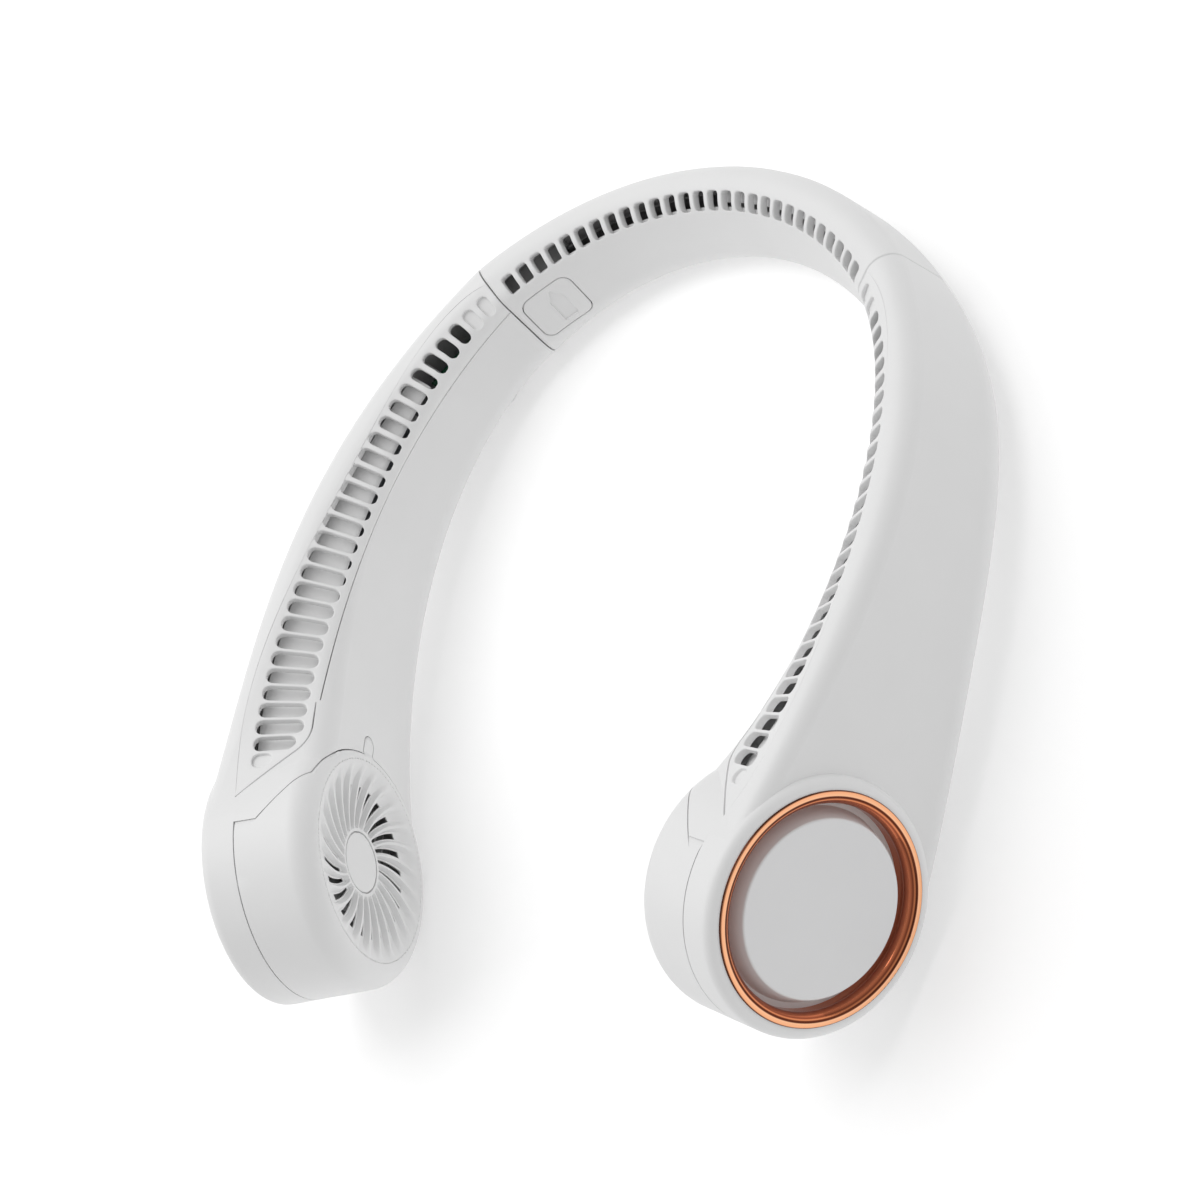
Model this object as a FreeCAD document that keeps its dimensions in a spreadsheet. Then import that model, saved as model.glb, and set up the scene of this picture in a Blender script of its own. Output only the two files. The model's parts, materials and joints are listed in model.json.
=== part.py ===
"""Electric neck fan: a soft rear sleeve, two hollow vented arms and a turbine in each arm's end.

Everything is drawn in the band's own frame, with the vent line in the plane z = 0 and the rear arc's
centre at the origin, and is then laid down so that the part rests on z = 0. Millimetres and degrees.
"""
import FreeCAD, Part
import math
import os
import re
import Sketcher

Vec = FreeCAD.Vector
Place = FreeCAD.Placement
UP = Vec(0, 0, 1)
ACROSS = Vec(1, 0, 0)

# Each cross-section is the taut outline round four corner circles: out, up and round, from the vent line.
SECTIONS = {
    "rear": {"crest": (5.1, -3.4, 5.7), "vent": (3.1, -4.2, 5.2),
             "inner": (1.9, -14.7, 7.6), "outer": (2.5, -12.7, 9.5)},
    "seam": {"crest": (6.4, -3.0, 5.7), "vent": (2.9, -4.5, 5.2),
             "inner": (2.8, -18.4, 7.6), "outer": (4.8, -15.7, 9.5)},
    "front": {"crest": (6.1, -2.7, 5.7), "vent": (1.4, -5.7, 5.7),
              "inner": (3.1, -23.5, 7.6), "outer": (7.5, -22.7, 9.5)},
    "waist": {"crest": (7.7, -1.0, 5.2), "vent": (-0.3, -7.4, 6.2),
              "inner": (2.4, -31.1, 7.6), "outer": (9.0, -30.3, 8.6)},
    "tail": {"crest": (11.0, 0.7, 4.3), "vent": (-3.8, -8.0, 6.2),
             "inner": (2.3, -43.2, 6.7), "outer": (16.4, -43.8, 6.2)},
}
CORNERS = ("crest", "vent", "inner", "outer")
SECTION_AXES = ("out", "up", "round")

SIZES = {
    # The vent line, seen from above: rear arc, arm arc and a straight run to the fan.
    "rear_radius": 78.4, "rear_turn": 76.4, "arm_radius": 161.5, "arm_turn": 31.1, "tip_run": 22.7,
    "seam_turn": 46.8, "front_at": 104.5, "waist_at": 147.3, "tail_at": 190.0,
    # The fan's housing about its own axis, which leans outwards and up.
    "fan_out": 7.1, "fan_drop": 26.1, "fan_lean": 8.1, "fan_depth": 30.2,
    "fan_face_radius": 28.0, "fan_face_round": 2.6, "fan_back_radius": 24.6, "fan_back_round": 6.1,
    # Walls, fits and how far the cutting tools run past what they cut.
    "wall": 1.8, "sleeve_wall": 2.2, "seam_gap": 0.3, "fit_gap": 0.3, "cover_gap": 0.3,
    "overrun": 4.0, "cut_reach": 75.0, "lay_limit": 45.0,
    # Parting plane of the shells along the fan's axis, and the cut between cover and arm.
    "part_plane": 5.3, "cover_cut_radius": 30.3, "cover_cut_shift": 3.6, "cover_nose": 8.5,
    "cover_nose_depth": 12.0, "cover_slant": 45.0, "cover_heel": 10.0,
    "tab_reach": 31.8, "tab_radius": 2.1, "tab_side": -5.0,
    # Vent strip and the two rows of slots.
    "strip_gap": 0.35, "strip_bite": 2.7, "vent_angle": 120.0, "seam_strip_angle": 185.0,
    "front_strip_angle": 185.0, "waist_strip_angle": 158.0, "tail_strip_angle": 121.0,
    "strip_end_at": 194.8, "strip_end_drop": 7.0, "strip_end_slope": 49.0, "strip_end_round": 10.0,
    "strip_end_lead": 12.0, "strip_end_rib": 1.6, "slot_depth": 5.0, "pocket_depth": 0.9,
    "slot_round_share": 0.46, "fuzz": 0.001, "arm_pitch": 4.71, "sleeve_pitch": 4.4, "first_slot": 3.8,
    "sleeve_slot_width": 3.05, "slot_corner": 0.9,
    "rear_slot": 5.0, "seam_slot": 4.9, "front_slot": 8.0, "waist_slot": 11.4, "tail_slot": 11.9,
    "seam_slot_width": 3.05, "front_slot_width": 3.25, "waist_slot_width": 3.9, "tail_slot_width": 3.9,
    "seam_slot_shift": -0.1, "front_slot_shift": -1.15, "waist_slot_shift": -0.6, "tail_slot_shift": 0.95,
    # Outer face: recess, copper ring and end cap.
    "recess_radius": 25.9, "recess_depth": 5.5, "cup_wall": 1.2, "ring_radius": 27.6, "ring_lip": 0.5,
    "ring_mouth": 24.3, "ring_bend": 2.5, "ring_flare": 2.2, "ring_fall": 3.2,
    "cap_radius": 21.2, "cap_base_radius": 22.9, "cap_edge": 0.6,
    # Intake cover's grille.
    "rim_radius": 25.0, "grille_dish": 2.5, "grille_thick": 1.6, "boss_radius": 7.65,
    "grille_inner": 9.2, "grille_outer": 22.0, "slat_turn": -17.0, "slat_open_share": 0.5,
    # Motor and turbine about the fan's axis.
    "mount_radius": 11.5, "mount_thick": 1.6, "tube_radius": 3.6, "tube_length": 11.6,
    "bearing_radius": 2.5, "bearing_width": 2.0, "shaft_radius": 1.0, "shaft_gap": 0.03, "shaft_end": 1.2,
    "stator_radius": 8.2, "stator_length": 7.8, "stator_space": 1.0, "air_gap": 0.6, "rotor_wall": 1.3,
    "rotor_space": 1.1, "rotor_plate": 1.4, "hub_wall": 1.2, "wheel_radius": 22.5, "disc_thick": 1.2,
    "disc_space": 1.6, "blade_root": 13.5, "blade_foot": 0.9, "blade_tip_out": 19.8, "blade_tip_side": 10.2,
    "blade_tip_back": 0.6, "blade_tip_rise": 0.7, "blade_bend": 12.0, "blade_length": 12.6,
    "screw_radius": 0.9, "screw_gap": 0.1, "screw_head_radius": 1.6, "screw_head": 0.9, "screw_circle": 9.2,
    "screw_bite": 1.4,
    # Ribs across the arm, and the board and battery that they hold.
    "rib": 1.6, "duct_level": 7.0, "board_at": 81.0, "board_rib_step": 7.0, "battery_at": 119.0,
    "battery_rib_step": 19.0, "board_out": 4.5, "board_drop": 15.0, "board_thick": 1.2, "board_height": 13.0,
    "board_length": 20.0, "battery_out": 5.0, "battery_drop": 17.5, "battery_thick": 8.0,
    "battery_height": 16.0, "battery_length": 46.0,
    # Seams: core blocks, end plugs, flex strip and harness.
    "plug_gap": 0.85, "plug_turn": 4.0, "core_start": 33.5, "core_end": 46.4,
    "flex_out": 7.2, "flex_thick": 0.8, "flex_drop": 12.0, "flex_height": 9.0, "flex_turn": 50.2,
    "harness_out": 1.0, "harness_drop": 17.0, "harness_radius": 1.5, "harness_turn": 52.0, "flare_gap": 1.3,
    # Charging flap, its nail recess and the socket behind it.
    "flap_turn": 39.8, "flap_width": 14.3, "flap_height": 12.2, "flap_drop": 11.8, "flap_round": 2.6,
    "flap_gap": 0.25, "nail_width": 4.0, "nail_height": 9.0, "nail_point": 3.0, "nail_depth": 0.5,
    "nail_shift": 1.2, "socket_out": -0.7, "socket_width": 9.0, "socket_height": 3.3, "socket_round": 1.3,
    "socket_length": 7.0, "socket_wall": 0.35, "tongue_width": 6.6, "tongue_thick": 0.7, "tongue_length": 6.0,
    # Power button on the left arm's underside, and its switch under the board.
    "button_out": 3.4, "button_radius": 2.75, "button_gap": 0.25, "button_drop": 28.4, "flange_radius": 3.6,
    "flange_thick": 0.8, "flange_drop": 24.95, "switch_side": 4.5, "switch_drop": 23.45,
}
COUNTS = {"arm_slots": 30, "blind_slots": 2, "sleeve_slots": 28, "slats": 25, "blades": 22, "mount_screws": 3}

doc = FreeCAD.newDocument("neck_fan")
sheet = doc.addObject("Spreadsheet::Sheet", "Sizes")
for station, corners in SECTIONS.items():
    for corner, values in corners.items():
        for axis, value in zip(SECTION_AXES, values):
            SIZES[f"{station}_{corner}_{axis}"] = value
for row, (alias, value) in enumerate({**SIZES, **COUNTS}.items(), start=1):
    sheet.set(f"A{row}", alias)
    sheet.set(f"B{row}", str(value))
    sheet.setAlias(f"B{row}", alias)
doc.recompute()

NODES = {}


def cell(text):
    """The text with each size's name turned into a reference to its cell."""
    names = SIZES.keys() | COUNTS.keys()
    return re.sub(r"[a-z]\w*", lambda word: f"Sizes.{word[0]}" if word[0] in names else word[0], text)


def size(text):
    """The value of a size, or of a sum of sizes and their multiples."""
    total = 0
    for sign, term in re.findall(r"([+-]?)\s*([^+-]+)", text):
        value = -1 if sign == "-" else 1
        for way, word in re.findall(r"([*/]?)\s*([\w.]+)", term):
            factor = sheet.get(word) if word in SIZES or word in COUNTS else float(word)
            value = value / factor if way == "/" else value * factor
        total += value
    return total


# Path of the vent line and its cross-sections

REAR_RUN = size("rear_radius") * math.radians(size("rear_turn"))
ARM_RUN = size("arm_radius") * math.radians(size("arm_turn"))
FAN_AT = REAR_RUN + ARM_RUN + size("tip_run")
SEAM_AT = size("rear_radius") * math.radians(size("seam_turn"))
ARM_START = SEAM_AT + size("seam_gap")
STATIONS = {"seam": ARM_START, "front": size("front_at"), "waist": size("waist_at"),
            "tail": size("tail_at"), "fan": FAN_AT}


def outward(turn):
    """Unit normal of the path at a turn, in degrees from the rear."""
    return Vec(math.sin(math.radians(turn)), math.cos(math.radians(turn)), 0)


def path(at):
    """Point of the vent line at a run from the rear, with its outward normal and its heading."""
    rear_turn = size("rear_turn")
    turn = math.degrees(at / size("rear_radius"))
    if turn <= rear_turn:
        point = outward(turn) * size("rear_radius")
    else:
        turn = rear_turn + min(math.degrees((at - REAR_RUN) / size("arm_radius")), size("arm_turn"))
        centre = outward(rear_turn) * (size("rear_radius") - size("arm_radius"))
        point = centre + outward(turn) * size("arm_radius")
    normal = outward(turn)
    heading = Vec(normal.y, -normal.x, 0)
    return point + heading * max(at - REAR_RUN - ARM_RUN, 0), normal, heading


FAN_POINT, FAN_NORMAL, FAN_HEADING = path(FAN_AT)
LEAN = math.radians(size("fan_lean"))
FAN_AXIS = FAN_NORMAL * math.cos(LEAN) + UP * math.sin(LEAN)
FAN_RISE = UP * math.cos(LEAN) - FAN_NORMAL * math.sin(LEAN)
FAN_CENTRE = FAN_POINT + FAN_NORMAL * size("fan_out") - UP * size("fan_drop")
FAN = Place(FAN_CENTRE, FreeCAD.Rotation(FAN_HEADING, FAN_AXIS.cross(FAN_HEADING), FAN_AXIS, "ZXY"))
FACE = size("fan_depth") / 2


def lean_point(along, rise):
    """Place (out, up) in the section of a point given along the fan's axis and across it."""
    out = size("fan_out") + along * math.cos(LEAN) - rise * math.sin(LEAN)
    return out, along * math.sin(LEAN) + rise * math.cos(LEAN) - size("fan_drop")


FAN_CORNERS = {
    "crest": (FACE - size("fan_face_round"), size("fan_face_radius"), size("fan_face_round")),
    "vent": (size("fan_back_round") - FACE, size("fan_back_radius"), size("fan_back_round")),
    "inner": (size("fan_back_round") - FACE, -size("fan_back_radius"), size("fan_back_round")),
    "outer": (FACE - size("fan_face_round"), -size("fan_face_radius"), size("fan_face_round")),
}


def circles_at(station, inset=0):
    """The four corner circles of a station, drawn in by an inset."""
    if station == "fan":
        table = {c: (*lean_point(along, rise), radius) for c, (along, rise, radius) in FAN_CORNERS.items()}
    else:
        table = {c: [size(f"{station}_{c}_{axis}") for axis in SECTION_AXES] for c in CORNERS}
    return [(table[c][0], table[c][1], table[c][2] - inset) for c in CORNERS]


def sleeve_circles(turn, inset=0):
    """The corner circles of the sleeve at a turn, growing from the rear to the seam."""
    grown = (turn / size("seam_turn")) ** 2
    pairs = zip(circles_at("rear", inset), circles_at("seam", inset))
    return [tuple(a + (b - a) * grown for a, b in zip(rear, seam)) for rear, seam in pairs]


def tangent_angle(first, second):
    """Direction of the outline's normal on the straight run between two corner circles."""
    out, up = second[0] - first[0], second[1] - first[1]
    return math.atan2(up, out) - math.acos((first[2] - second[2]) / math.hypot(out, up))


def on_circle(circle, angle):
    return circle[0] + circle[2] * math.cos(angle), circle[1] + circle[2] * math.sin(angle)


def place_in_section(at, points):
    """Points (out, up) of a section, in the band's frame."""
    point, normal, _ = path(at)
    return [point + normal * out + UP * up for out, up in points]


def outline(at, circles):
    """Closed wire of arcs and tangents round the corner circles, at a run along the path."""
    normals = [tangent_angle(circle, circles[(i + 1) % len(circles)]) for i, circle in enumerate(circles)]
    edges = []
    for i, circle in enumerate(circles):
        start, end = normals[i - 1], normals[i]
        while end < start:
            end += 2 * math.pi
        arc = place_in_section(at, [on_circle(circle, a) for a in (start, (start + end) / 2, end)])
        reach = place_in_section(at, [on_circle(circles[(i + 1) % len(circles)], end)])
        edges.append(Part.Arc(*arc).toShape())
        edges.append(Part.LineSegment(arc[-1], reach[0]).toShape())
    return Part.Wire(edges)


def loft(wires):
    return Part.makeLoft(wires, True, False)


# How the part lies: turned about X until the housings and the rear of the sleeve are level

def reach_of_fan(way):
    """How far the right housing reaches along a direction."""
    lean = math.sqrt(1 - way.dot(FAN_AXIS) ** 2)
    return max(way.dot(FAN_CENTRE + FAN_AXIS * along) + abs(rise) * lean + radius
               for along, rise, radius in FAN_CORNERS.values())


def reach_of_rear(way):
    """How far the rear of the sleeve reaches along a direction."""
    point, normal, _ = path(0)
    return max(way.dot(point + normal * out + UP * up) + radius for out, up, radius in circles_at("rear"))


def row_axes(turn):
    """The directions of the laid part's Y and Z, in the band's frame."""
    angle = math.radians(turn)
    return Vec(0, math.cos(angle), -math.sin(angle)), Vec(0, math.sin(angle), math.cos(angle))


low_turn, high_turn = -size("lay_limit"), 0
for _ in range(60):
    lay_turn = (low_turn + high_turn) / 2
    down = row_axes(lay_turn)[1] * -1
    if reach_of_fan(down) > reach_of_rear(down):
        high_turn = lay_turn
    else:
        low_turn = lay_turn
ROW_BACK, ROW_UP = row_axes(lay_turn)
LAY = Place(Vec(0, (reach_of_fan(ROW_BACK * -1) - reach_of_rear(ROW_BACK)) / 2, reach_of_fan(ROW_UP * -1)),
            FreeCAD.Rotation(ACROSS, lay_turn))


# Ways to make a node

def keep(label, item):
    item.Label = label
    NODES[label] = item
    return item


def solid_node(label, shape):
    """A node whose shape is drawn in the band's frame."""
    item = doc.addObject("Part::Feature", label)
    item.Shape = shape
    item.Placement = LAY
    return keep(label, item)


def mirror_node(name):
    """The left arm's copy of a node of the right arm."""
    item = doc.addObject("Part::Mirroring", f"left_{name}")
    item.Source = NODES[f"right_{name}"]
    item.Normal = ACROSS
    return keep(f"left_{name}", item)


def mirrored(shape):
    return shape.mirror(Vec(), ACROSS)


def in_fan(shape):
    shape.Placement = FAN.multiply(shape.Placement)
    return shape


def disc(radius, low, high):
    """A cylinder about the fan's axis, between two places along it."""
    return in_fan(Part.makeCylinder(radius, high - low, Vec(0, 0, low)))


def box_at(at, out, up, thick, height, length, grow=0):
    """A box standing across the path: centred at a run, an offset outwards and a level."""
    point, normal, heading = path(at)
    box = Part.makeBox(length + 2 * grow, thick + 2 * grow, height + 2 * grow,
                       Vec(-length / 2 - grow, -thick / 2 - grow, -height / 2 - grow))
    turn = FreeCAD.Rotation(heading, normal, UP, "ZXY")
    box.Placement = Place(point + normal * out + UP * up, turn)
    return box


def plane_of(body, role):
    return next(item for item in body.Origin.OriginFeatures if item.Role == role)


def arc_through(start, end, radius, left):
    """Arc of a radius from start to end, with its centre on the left or right of that way."""
    chord = end - start
    lift = math.sqrt(radius ** 2 - (chord.Length / 2) ** 2)
    side = Vec(-chord.y, chord.x, 0).normalize() * (lift if left else -lift)
    centre = (start + end) / 2 + side
    angles = [math.atan2(p.y - centre.y, p.x - centre.x) for p in ((start, end) if left else (end, start))]
    return Part.ArcOfCircle(Part.Circle(centre, UP, radius), *angles)


def draw(body, name, role, corners, bends=None, level="0"):
    """A closed sketch through corners given as texts; an edge in bends is an arc of that radius."""
    bends = bends or {}
    sketch = body.newObject("Sketcher::SketchObject", name)
    sketch.AttachmentSupport = [(plane_of(body, role), "")]
    sketch.MapMode = "FlatFace"
    if level != "0":
        sketch.setExpression("AttachmentOffset.Base.z", cell(level))
    places = [Vec(size(x), size(y), 0) for x, y in corners]
    ends = []
    for i, start in enumerate(places):
        end = places[(i + 1) % len(places)]
        if i in bends:
            radius, left = bends[i]
            sketch.addGeometry(arc_through(start, end, size(radius), left), False)
            ends.append((1, 2) if left else (2, 1))
        else:
            sketch.addGeometry(Part.LineSegment(start, end), False)
            ends.append((1, 2))
    for i in range(len(places)):
        after = (i + 1) % len(places)
        sketch.addConstraint(Sketcher.Constraint("Coincident", i, ends[i][1], after, ends[after][0]))
    for i, corner in enumerate(corners):
        for kind, text, axis in (("DistanceX", corner[0], -2), ("DistanceY", corner[1], -1)):
            if text == "0":
                sketch.addConstraint(Sketcher.Constraint("PointOnObject", i, ends[i][0], axis))
            else:
                rule = Sketcher.Constraint(kind, -1, 1, i, ends[i][0], size(text))
                sketch.setExpression(f"Constraints[{sketch.addConstraint(rule)}]", cell(text))
    for i, (radius, _) in bends.items():
        rule = Sketcher.Constraint("Radius", i, size(radius))
        sketch.setExpression(f"Constraints[{sketch.addConstraint(rule)}]", cell(radius))
    return sketch


def turned(label, corners, bends=None):
    """A body turned about the right fan's axis from its half outline (radius, place along the axis)."""
    body = doc.addObject("PartDesign::Body", label)
    sketch = draw(body, f"{label}_outline", "XZ_Plane", corners, bends)
    turn = body.newObject("PartDesign::Revolution", f"{label}_turn")
    turn.Profile = sketch
    turn.ReferenceAxis = (sketch, ["V_Axis"])
    turn.Angle = 360
    body.Placement = LAY.multiply(FAN)
    return keep(label, body)


# Arms: shells, vent strip and intake cover

def fan_drum(inset):
    """The housing's section turned about the fan's axis."""
    half = FACE - inset
    crest, vent = circles_at("fan", inset)[:2]
    top = tangent_angle(crest, vent) % (2 * math.pi)
    back = LEAN + math.pi
    crest_angles = (LEAN, (LEAN + top) / 2, top)
    vent_angles = (top, (top + back) / 2, back)
    crest_arc = place_in_section(FAN_AT, [on_circle(crest, a) for a in crest_angles])
    vent_arc = place_in_section(FAN_AT, [on_circle(vent, a) for a in vent_angles])
    front, rear = FAN_CENTRE + FAN_AXIS * half, FAN_CENTRE - FAN_AXIS * half
    edges = [Part.LineSegment(front, crest_arc[0]).toShape(), Part.Arc(*crest_arc).toShape(),
             Part.LineSegment(crest_arc[2], vent_arc[0]).toShape(), Part.Arc(*vent_arc).toShape(),
             Part.LineSegment(vent_arc[2], rear).toShape(), Part.LineSegment(rear, front).toShape()]
    return Part.Face(Part.Wire(edges)).revolve(FAN_CENTRE, FAN_AXIS, 360)


def arm_solid(inset, lead=0):
    """The right arm with its housing, drawn in by an inset and led past the seam."""
    wires = [outline(at, circles_at(name, inset)) for name, at in STATIONS.items()]
    solid = loft(wires).fuse(fan_drum(inset))
    if lead:
        heading = path(ARM_START)[2]
        solid = solid.fuse(Part.Face(wires[0]).extrude(heading * -lead))
    return solid.removeSplitter()


def part_point(station):
    """Top of the parting line (out, up): the vent strip's outer edge."""
    if station == "fan":
        return lean_point(size("part_plane"), size("fan_face_radius + fan_face_round"))
    crest, vent = circles_at(station)[:2]
    return on_circle(crest, tangent_angle(crest, vent))


def outer_side():
    """Everything outwards of the parting line, as one tool."""
    reach = size("cut_reach")
    wires = []
    for station, at in STATIONS.items():
        out, up = part_point(station)
        corners = []
        for along, rise in ((0, size("overrun")), (0, -reach), (reach, -reach), (reach, size("overrun"))):
            corners.append((out + along * math.cos(LEAN) - rise * math.sin(LEAN),
                            up + along * math.sin(LEAN) + rise * math.cos(LEAN)))
        points = place_in_section(at, corners)
        wires.append(Part.makePolygon(points + points[:1]))
    start = Part.Face(wires[0]).extrude(path(ARM_START)[2] * -size("overrun"))
    end = Part.Face(wires[-1]).extrude(FAN_HEADING * reach)
    return loft(wires).fuse([start, end])


def strip_zone(gap):
    """Tool over the vent strip: from past its outer edge to its inner edge, widened by a gap."""
    wires = []
    for station, at in STATIONS.items():
        crest, vent = circles_at(station)[:2]
        first = tangent_angle(crest, vent)
        edge_station = "tail" if station == "fan" else station
        last = math.radians(size(f"{edge_station}_strip_angle")) + gap / vent[2]
        high, low = size("overrun"), -size("strip_bite")
        along = (math.sin(first) * size("overrun"), -math.cos(first) * size("overrun"))
        edge = on_circle(crest, first)
        corners = []
        for rise in (high, low):
            corners.append((edge[0] + along[0] + rise * math.cos(first),
                            edge[1] + along[1] + rise * math.sin(first)))
        inner = on_circle(vent, last)
        for rise in (low, high):
            corners.append((inner[0] + rise * math.cos(last), inner[1] + rise * math.sin(last)))
        points = place_in_section(at, corners)
        wires.append(Part.makePolygon(points + points[:1]))
    start = Part.Face(wires[0]).extrude(path(ARM_START)[2] * -size("overrun"))
    return loft(wires).fuse(start)


def strip_end(grow):
    """Tool over what lies past the vent strip's slanted, rounded end, set back by a growth."""
    point, normal, heading = path(size("strip_end_at"))
    face, slope = math.radians(size("vent_angle")), math.radians(size("strip_end_slope"))
    along = normal * math.sin(face) - UP * math.cos(face)
    reach, lead, low = size("cut_reach"), size("strip_end_lead"), -size("strip_end_drop") - grow
    turn_at = grow * math.sin(slope) - grow * (1 - math.cos(slope)) / math.tan(slope)
    corners = [Vec(-lead, low, 0), Vec(turn_at, low, 0),
               Vec(turn_at + reach * math.cos(slope), low + reach * math.sin(slope), 0), Vec(-lead, reach, 0)]
    keep_in = Part.Face(Part.makePolygon(corners + corners[:1])).extrude(UP * reach)
    edge = min(keep_in.Edges, key=lambda e: e.CenterOfMass.distanceToPoint(corners[1] + UP * reach / 2))
    keep_in = keep_in.makeFillet(size("strip_end_round") + grow, [edge])
    past = Part.makeBox(reach, 2 * reach, reach, Vec(-lead, -reach, 0)).cut(keep_in)
    past.translate(UP * -reach / 2)
    lay = Place(point, FreeCAD.Rotation(heading, along, heading.cross(along), "ZXY"))
    past.Placement = lay.multiply(past.Placement)
    return past


def cover_zone(grow):
    """Tool over the intake cover: a round cut about the fan, a slant above, a heel below and a nail tab."""
    reach, slant = size("cut_reach"), math.radians(size("cover_slant"))
    middle = Vec(size("cover_cut_shift"), 0, -reach / 2)
    zone = Part.makeCylinder(size("cover_cut_radius") + grow, reach, middle)
    start = -size("cover_nose") - grow / math.cos(slant)
    rises = [(level + size("cover_nose_depth")) * math.tan(slant) for level in (-reach, reach)]
    corners = [Vec(start + rises[0], -reach, -reach), Vec(2 * reach, -reach, -reach),
               Vec(2 * reach, -reach, reach), Vec(start + rises[1], -reach, reach)]
    ahead = Part.Face(Part.makePolygon(corners + corners[:1])).extrude(Vec(0, 2 * reach, 0))
    radius = size("tab_radius") + grow
    tip = size("tab_radius - tab_reach")
    tab = Part.makeBox(-tip, 2 * radius, reach, Vec(tip, size("tab_side") - radius, -reach))
    end = Part.makeCylinder(radius, reach, Vec(tip, size("tab_side"), -reach))
    heel = Part.makeBox(reach, reach, 2 * reach, Vec(-size("cover_heel") - grow, 0, -reach))
    return in_fan(zone.fuse([ahead, tab, end, heel]))


def slot_tool(at, length, width, corner, shift, depth):
    """Slot with rounded corners across the vent line, shifted outwards and cut in along the face's normal."""
    point, normal, heading = path(at)
    angle = math.radians(size("vent_angle"))
    inward = normal * -math.cos(angle) - UP * math.sin(angle)
    along = normal * math.sin(angle) - UP * math.cos(angle)
    top = point + along * shift - inward * size("overrun")
    turn = FreeCAD.Rotation(along, heading, along.cross(heading), "ZXY")
    plate = Part.makeBox(length, width, size("overrun") + depth, Vec(-length / 2, -width / 2, 0))
    fuzz = size("fuzz")
    upright = [e for e in plate.Edges if e.tangentAt(e.FirstParameter).cross(UP).Length < fuzz]
    plate = plate.makeFillet(corner, upright)
    if turn.multVec(UP).dot(inward) < 0:
        plate.rotate(Vec(), ACROSS, 180)
    plate.Placement = Place(top, turn).multiply(plate.Placement)
    return plate


def grow_between(low, high, share):
    return low + (high - low) * share


def along_arm(name, at):
    """Size that changes along the arm: its value between the two stations on either side of a place."""
    stations = ("seam", "front", "waist", "tail")
    places = [(STATIONS[station], size(f"{station}_{name}")) for station in stations]
    for (start, low), (end, high) in zip(places, places[1:]):
        if at <= end or end == places[-1][0]:
            return grow_between(low, high, (at - start) / (end - start))


def arm_ribs(body):
    """Ribs across the arm below the air duct, with windows for the board and the battery."""
    items = ("board", "battery")
    runs = [size(f"{item}_at") + side * size(f"{item}_rib_step") for item in items for side in (-1, 1)]
    reach = size("cut_reach")
    ribs = []
    for at in runs:
        slab = box_at(at, 0, -size("duct_level") - reach / 2, reach, reach, size("rib"))
        ribs.append(slab.common(body))
    windows = [piece_box(item, size("fit_gap")) for item in items]
    return ribs[0].multiFuse(ribs[1:]).cut(windows)


def piece_box(item, grow=0):
    """Box of the board or the battery in the right arm."""
    return box_at(size(f"{item}_at"), size(f"{item}_out"), -size(f"{item}_drop"), size(f"{item}_thick"),
                  size(f"{item}_height"), size(f"{item}_length"), grow)


def spot(radius, angle):
    """Point about the fan's axis."""
    return Vec(radius * math.cos(angle), radius * math.sin(angle), 0)


def swirl_slot():
    """One opening of the grille, between two curved slats, about the fan's axis."""
    half = size("slat_open_share") * math.pi / size("slats")
    turn = math.radians(size("slat_turn"))
    inner, outer = size("grille_inner"), size("grille_outer")
    middle = (inner + outer) / 2
    edges = [Part.Arc(spot(inner, -half), spot(middle, turn / 2 - half), spot(outer, turn - half)).toShape(),
             Part.Arc(spot(outer, turn - half), spot(outer, turn), spot(outer, turn + half)).toShape(),
             Part.Arc(spot(outer, turn + half), spot(middle, turn / 2 + half), spot(inner, half)).toShape(),
             Part.Arc(spot(inner, half), spot(inner, 0), spot(inner, -half)).toShape()]
    prism = Part.Face(Part.Wire(edges)).extrude(UP * size("fan_depth"))
    prism.translate(UP * -size("fan_depth"))
    return prism


def grille():
    """Dished disc of curved slats round a boss, about the right fan's axis."""
    boss, rim = size("boss_radius"), size("rim_radius")
    floor, thick = -FACE + size("grille_dish"), size("grille_thick")
    corners = [Vec(0, 0, floor), Vec(boss, 0, floor), Vec(rim, 0, -FACE), Vec(rim, 0, -FACE + thick),
               Vec(boss, 0, floor + thick), Vec(0, 0, floor + thick)]
    plate = Part.Face(Part.makePolygon(corners + corners[:1])).revolve(Vec(), UP, 360)
    slot = swirl_slot()
    cuts = []
    for k in range(int(size("slats"))):
        turned_slot = slot.copy()
        turned_slot.rotate(Vec(), UP, 360 * k / size("slats"))
        cuts.append(turned_slot)
    return in_fan(plate.cut(cuts))


def screw_range():
    return range(int(size("mount_screws")))


def screw_place(k):
    """Place of a mount screw about the fan's axis."""
    turn = FreeCAD.Rotation(UP, 360 * k / size("mount_screws"))
    return Place(turn.multVec(Vec(size("screw_circle"), 0, 0)), turn)


def screw_hole(k, radius, start, depth):
    """Blind hole for a mount screw, from a place along the fan's axis."""
    hole = Part.makeCylinder(radius, depth, Vec(0, 0, start))
    hole.Placement = FAN.multiply(screw_place(k))
    return hole


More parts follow.
